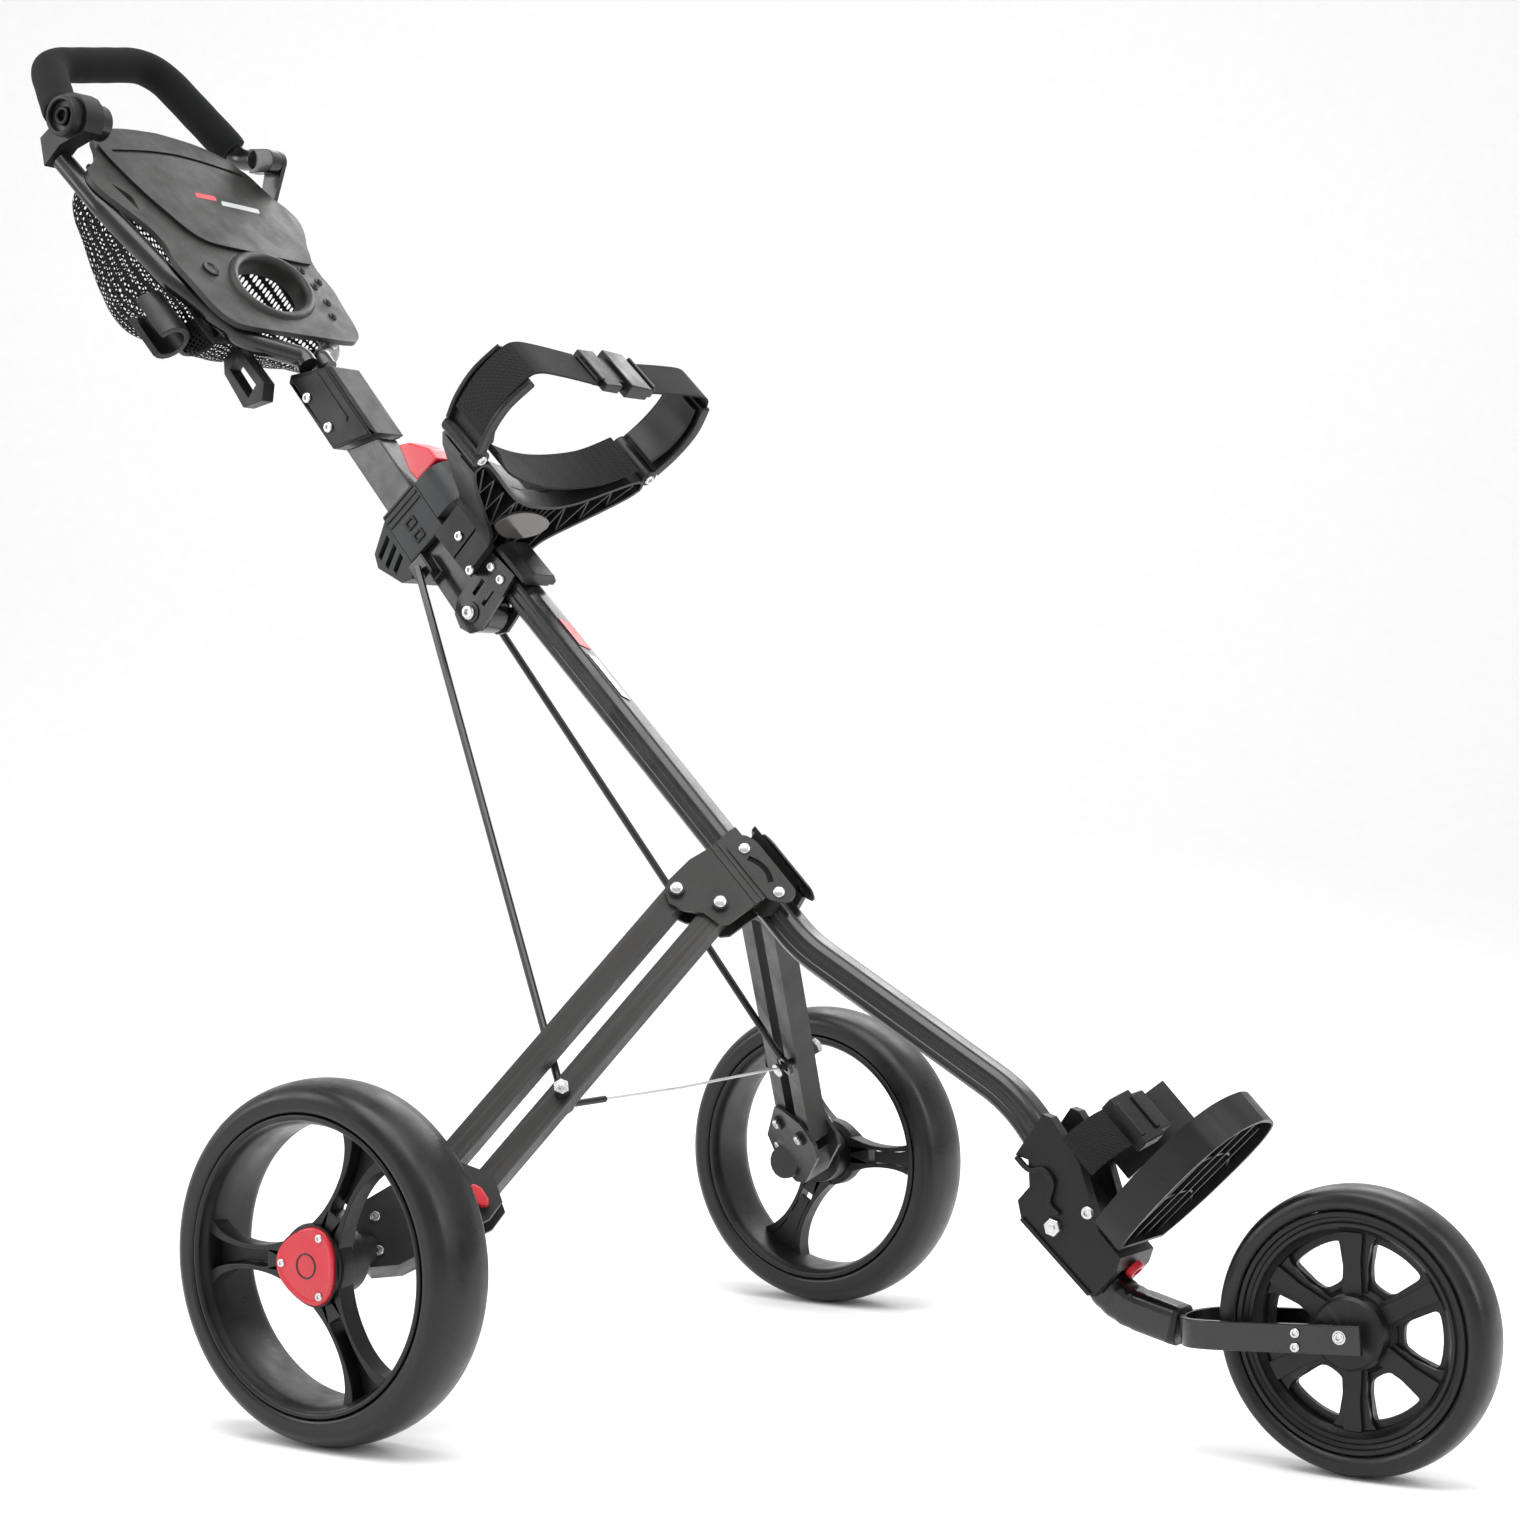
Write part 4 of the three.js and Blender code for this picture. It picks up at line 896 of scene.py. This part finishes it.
pegs.append(lathe([(0, 0), (8.6, 0), (8.6, 1.2), (7.6, 1.9), (6.4, 1.2), (5.6, 0.7), (0, 0.7)],
                  console_point(-62, 62, -1.2), CN, 32, False))
piece("console_tee_holders", "stem", "plastic", pegs, 0.2)
lid_line = smooth([(-95, 205), (-91, 222), (-52, 238), (0, 246), (52, 239), (90, 224), (103, 203), (115, 172),
                   (108, 132), (97, 104), (80, 94), (0, 95), (-38, 98), (-56, 109), (-70, 134), (-82, 160)],
                   90, True)
groove = band(smooth([(-84, 211), (0, 222), (84, 215)], 14), 4.6)
piece("console_lid_finish", "lid", "panel", [on_console(lid_line, 0.5, 2.6, [groove])], 0.7, 2,
      replaces=["console_lid"], bow=BOW)
piece("console_groove", "lid", "plastic", [on_console(band(smooth([(-83, 211), (0, 222), (83, 215)], 14),
                                                           4.2),
                                                      0.6, 1.0)], 0, bow=BOW)
for mat, y0, y1, u in (("red", -14, 12, 166), ("silver", 16, 66, 161)):
    bar = fillet([(y0, u - 3.4), (y1, u - 3.4), (y1 + 3, u + 3.4), (y0 + 3, u + 3.4)], 1.5)
    piece(f"console_stripe_{mat}", "lid", mat, [on_console(bar, 2.5, 2.75)], 0, bow=BOW)
for side_name, s in SIDES:
    top = [vec(-460, s * 121, 983), vec(-501, s * 129, 1028) if s < 0 else vec(-497, 126, 1024)]
    line = rounded([vec(-317.6, s * 12.3, 846.5), vec(-324.6, s * 12.3, 854.5), vec(-352, s * 54, 866),
                    vec(-399, s * 97, 917)] + top, 60, 10)
    solids = [tube(line, 9.4, 28)]
    if s > 0:
        hx, hz = -480, 1062
        ear = arc(hx, hz, 11, -30, 160, 16) + [(hx - 19, hz - 34), (hx - 2, hz - 38)]
        solids += [side(ear, 119, 124), rod(vec(hx, 106, hz), vec(hx, 127.5, hz), 6)]
    piece(f"side_tube_{side_name}_finish", "stem", "paint", solids, 0.8, replaces=[f"side_tube_{side_name}"])
refine("handle_clamp", "plastic", 1.6, 3)
hinge = vec(-480, 0, 1062)
knob = [(0, -34), (6, -34), (6, -0.4), (17.6, -0.4), (18.2, 1), (18.2, 9), (17.2, 11.4), (14.8, 12),
        (13.8, 11.2),
        (13.2, 6.5), (8.4, 5.6), (8, 9.5), (6.6, 10.4), (5, 9.6), (4.6, 5), (0, 5)]
piece("clamp_knob_finish", "stem", "plastic", [lathe(knob, hinge - Y * 141, -Y, 64, False)], 0.4,
      replaces=["clamp_knob"])
refine("umbrella_clip", "plastic", 0.9, 2)
wing = smooth([(-86, -60), (-76, -66), (-62, -64), (-52, -54), (-50, -42), (-56, -32)], 24)
piece("umbrella_clip_wing", "stem", "plastic", [plate(band(wing, 4), CO, Y, CN, -54, -20)], 0.9, 2)
refine("strap_hook", "plastic", 1.4, 3)

# ---------- handle ----------
SLANT = 12
handle_line = [vec(-494, -108, 1064), vec(-518, -112, 1067), vec(-590, -66, 1146 - SLANT),
               vec(-590, 66, 1146 + SLANT),
               vec(-518, 112, 1067), vec(-494, 108, 1064)]
lugs = []
for y0, y1 in ((-118.5, -104), (105, 118.5)):
    lugs.append(side(arc(-480, 1062, 16 if y0 < 0 else 11, -90, 90, 16) + [(-500, 1075), (-500, 1052)], y0,
                     y1))
piece("handle_bar_finish", "handle", "paint", [tube(rounded(handle_line, 30, 8), 9.8, 28)] + lugs, 0.8,
      replaces=["handle_bar"])
grip = [p.copy() for p in handle_line[1:-1]]
grip[0] = handle_line[1].lerp(handle_line[2], 0.14)
grip[3] = handle_line[4].lerp(handle_line[3], 0.09)
line = []
for p, q in zip(rounded(grip, 42, 14), rounded(grip, 42, 14)[1:]):
    steps = max(int((q - p).length / 4), 1)
    line += [p.lerp(q, k / steps) for k in range(steps)]
line.append(grip[3])
count = len(line)
scales = [min(1, 0.93 + 0.05 * min(i, count - 1 - i)) * (1 + 0.006 * math.sin(i * 0.9)) for i in range(count)]
foam = piece("foam_grip_finish", "handle", "foam", [tube(line, 16.4, 40, scales=scales)], 0,
             replaces=["foam_grip"])


# ---------- net bag ----------
def net_bag():
    """A knitted pouch: a grid over the sagging bag, each cell a ring of cord round an open hole."""
    depth = smooth([(0, 30), (6, 55), (57, 90), (112, 111), (145, 109), (193, 93), (224, 76), (229, 34)], 240)
    lengths = [0.0]
    for p, q in zip(depth, depth[1:]):
        lengths.append(lengths[-1] + math.dist(p, q))
    pitch = 5.3
    rows = int(lengths[-1] / pitch)
    spine = []
    k = 0
    for i in range(rows + 1):
        target = lengths[-1] * i / rows
        while k < len(lengths) - 2 and lengths[k + 1] < target:
            k += 1
        f = (target - lengths[k]) / max(lengths[k + 1] - lengths[k], 1e-9)
        spine.append([a + (b - a) * f for a, b in zip(depth[k], depth[k + 1])])
    cols = 52
    grid = []
    for i, (u, d) in enumerate(spine):
        row = []
        for j in range(cols + 1):
            x = -1 + 2 * j / cols
            # across the bag the sides rise steeply to the rim
            y = 80 * math.copysign(min(abs(x) * 1.28, 1), x)
            rise = max(abs(x) * 1.28 - 0.82, 0) / (1.28 - 0.82)
            n = -(32 + (d - 32) * (1 - rise ** 1.5))
            fold = 1.6 * math.sin(u * 0.09 + y * 0.05) + 1.1 * math.sin(y * 0.16 - u * 0.04)
            row.append(console_point(y * (0.97 + 0.02 * math.sin(u * 0.07)), u, n + fold * (1 - rise)))
        grid.append(row)
    verts, faces = [], []
    index = {}

    def corner(i, j):
        if (i, j) not in index:
            index[i, j] = len(verts)
            verts.append(grid[i][j])
        return index[i, j]

    for i in range(rows):
        for j in range(cols):
            quad = [corner(i, j), corner(i, j + 1), corner(i + 1, j + 1), corner(i + 1, j)]
            p = [verts[c] for c in quad]
            mid = (p[0] + p[1] + p[2] + p[3]) / 4
            size = 0.60 + 0.06 * math.sin(i * 1.7 + j * 2.3)
            inner = []
            for a, b in ((0, 1), (1, 2), (2, 3), (3, 0)):
                inner.append(mid + (p[a] - mid) * size * 0.80)
                inner.append(mid + ((p[a] + p[b]) / 2 - mid) * size * 1.12)
            base = len(verts)
            verts += inner
            for c in range(4):
                nxt = (c + 1) % 4
                faces.append((quad[c], base + 2 * c + 1, base + 2 * c))
                faces.append((quad[c], quad[nxt], base + 2 * c + 1))
                faces.append((quad[nxt], base + (2 * c + 2) % 8, base + 2 * c + 1))
    net = piece("net_bag_finish", "stem", "net", [(verts, faces)], 0, replaces=["net_bag"])
    edge = ([grid[i][0] for i in range(rows + 1)] + grid[rows][1:]
            + [grid[i][cols] for i in range(rows - 1, -1, -1)] + grid[0][cols - 1:0:-1])
    hem = piece("net_hem", "stem", "web", [tube(edge[::2], 2.6, 8, closed=True)], 0)
    return net, hem


net, hem = net_bag()

# ---------- stage, light and camera ----------
bm = bmesh.new()
profile = [(-6.0, 0.0)] + [(3.2 + 1.6 * math.sin(a), 1.6 - 1.6 * math.cos(a)) for a in
                           [math.pi / 2 * k / 24 for k in range(25)]] + [(4.8, 5.0)]
view_dir = vec(-math.sin(CAMERA_TURN), math.cos(CAMERA_TURN), 0)
right_dir = vec(view_dir.y, -view_dir.x, 0)
rows = []
for d, z in profile:
    rows.append([bm.verts.new(view_dir * d + right_dir * x + vec(0, 0, z)) for x in (-9, 9)])
for a, b in zip(rows, rows[1:]):
    bm.faces.new((a[0], a[1], b[1], b[0]))
mesh = bpy.data.meshes.new("backdrop")
bm.to_mesh(mesh)
bm.free()
mesh.shade_smooth()
backdrop = bpy.data.objects.new("backdrop", mesh)
bpy.context.scene.collection.objects.link(backdrop)
mesh.materials.append(node_material("backdrop_paper", (0.93, 0.93, 0.93), 0.85, 400, 0.02, vary=0.01,
                                    spec=0.1))

world = bpy.data.worlds.new("studio")
bpy.context.scene.world = world
world.use_nodes = True
world.node_tree.nodes["Background"].inputs["Color"].default_value = (1, 1, 1, 1)
world.node_tree.nodes["Background"].inputs["Strength"].default_value = 0.74


def softbox(name, place, target, size, power):
    light = bpy.data.lights.new(name, "AREA")
    light.shape = "RECTANGLE"
    light.size, light.size_y = size
    light.energy = power
    obj = bpy.data.objects.new(name, light)
    obj.location = place
    obj.rotation_euler = (vec(*target) - vec(*place)).to_track_quat("-Z", "Y").to_euler()
    bpy.context.scene.collection.objects.link(obj)


softbox("top", (0.3, -0.6, 3.0), (0, 0, 0.4), (2.6, 2.2), 78)
softbox("left", (-2.4, -1.9, 1.7), (0, 0, 0.5), (1.2, 2.2), 40)
softbox("right", (2.9, 0.2, 1.9), (0.1, 0, 0.5), (1.1, 2.4), 34)
softbox("behind", (-0.6, 2.6, 2.4), (0, 0, 0.5), (2.4, 1.2), 34)

camera = bpy.data.cameras.new("camera")
camera.lens = 71.70
camera.sensor_width = 36
camera_object = bpy.data.objects.new("camera", camera)
camera_object.location = (1.42645, -2.0047, 0.5323)
camera_object.rotation_euler = (math.radians(90 - 0.71), 0, CAMERA_TURN)
bpy.context.scene.collection.objects.link(camera_object)
bpy.context.scene.camera = camera_object
bpy.context.scene.view_settings.view_transform = "Standard"
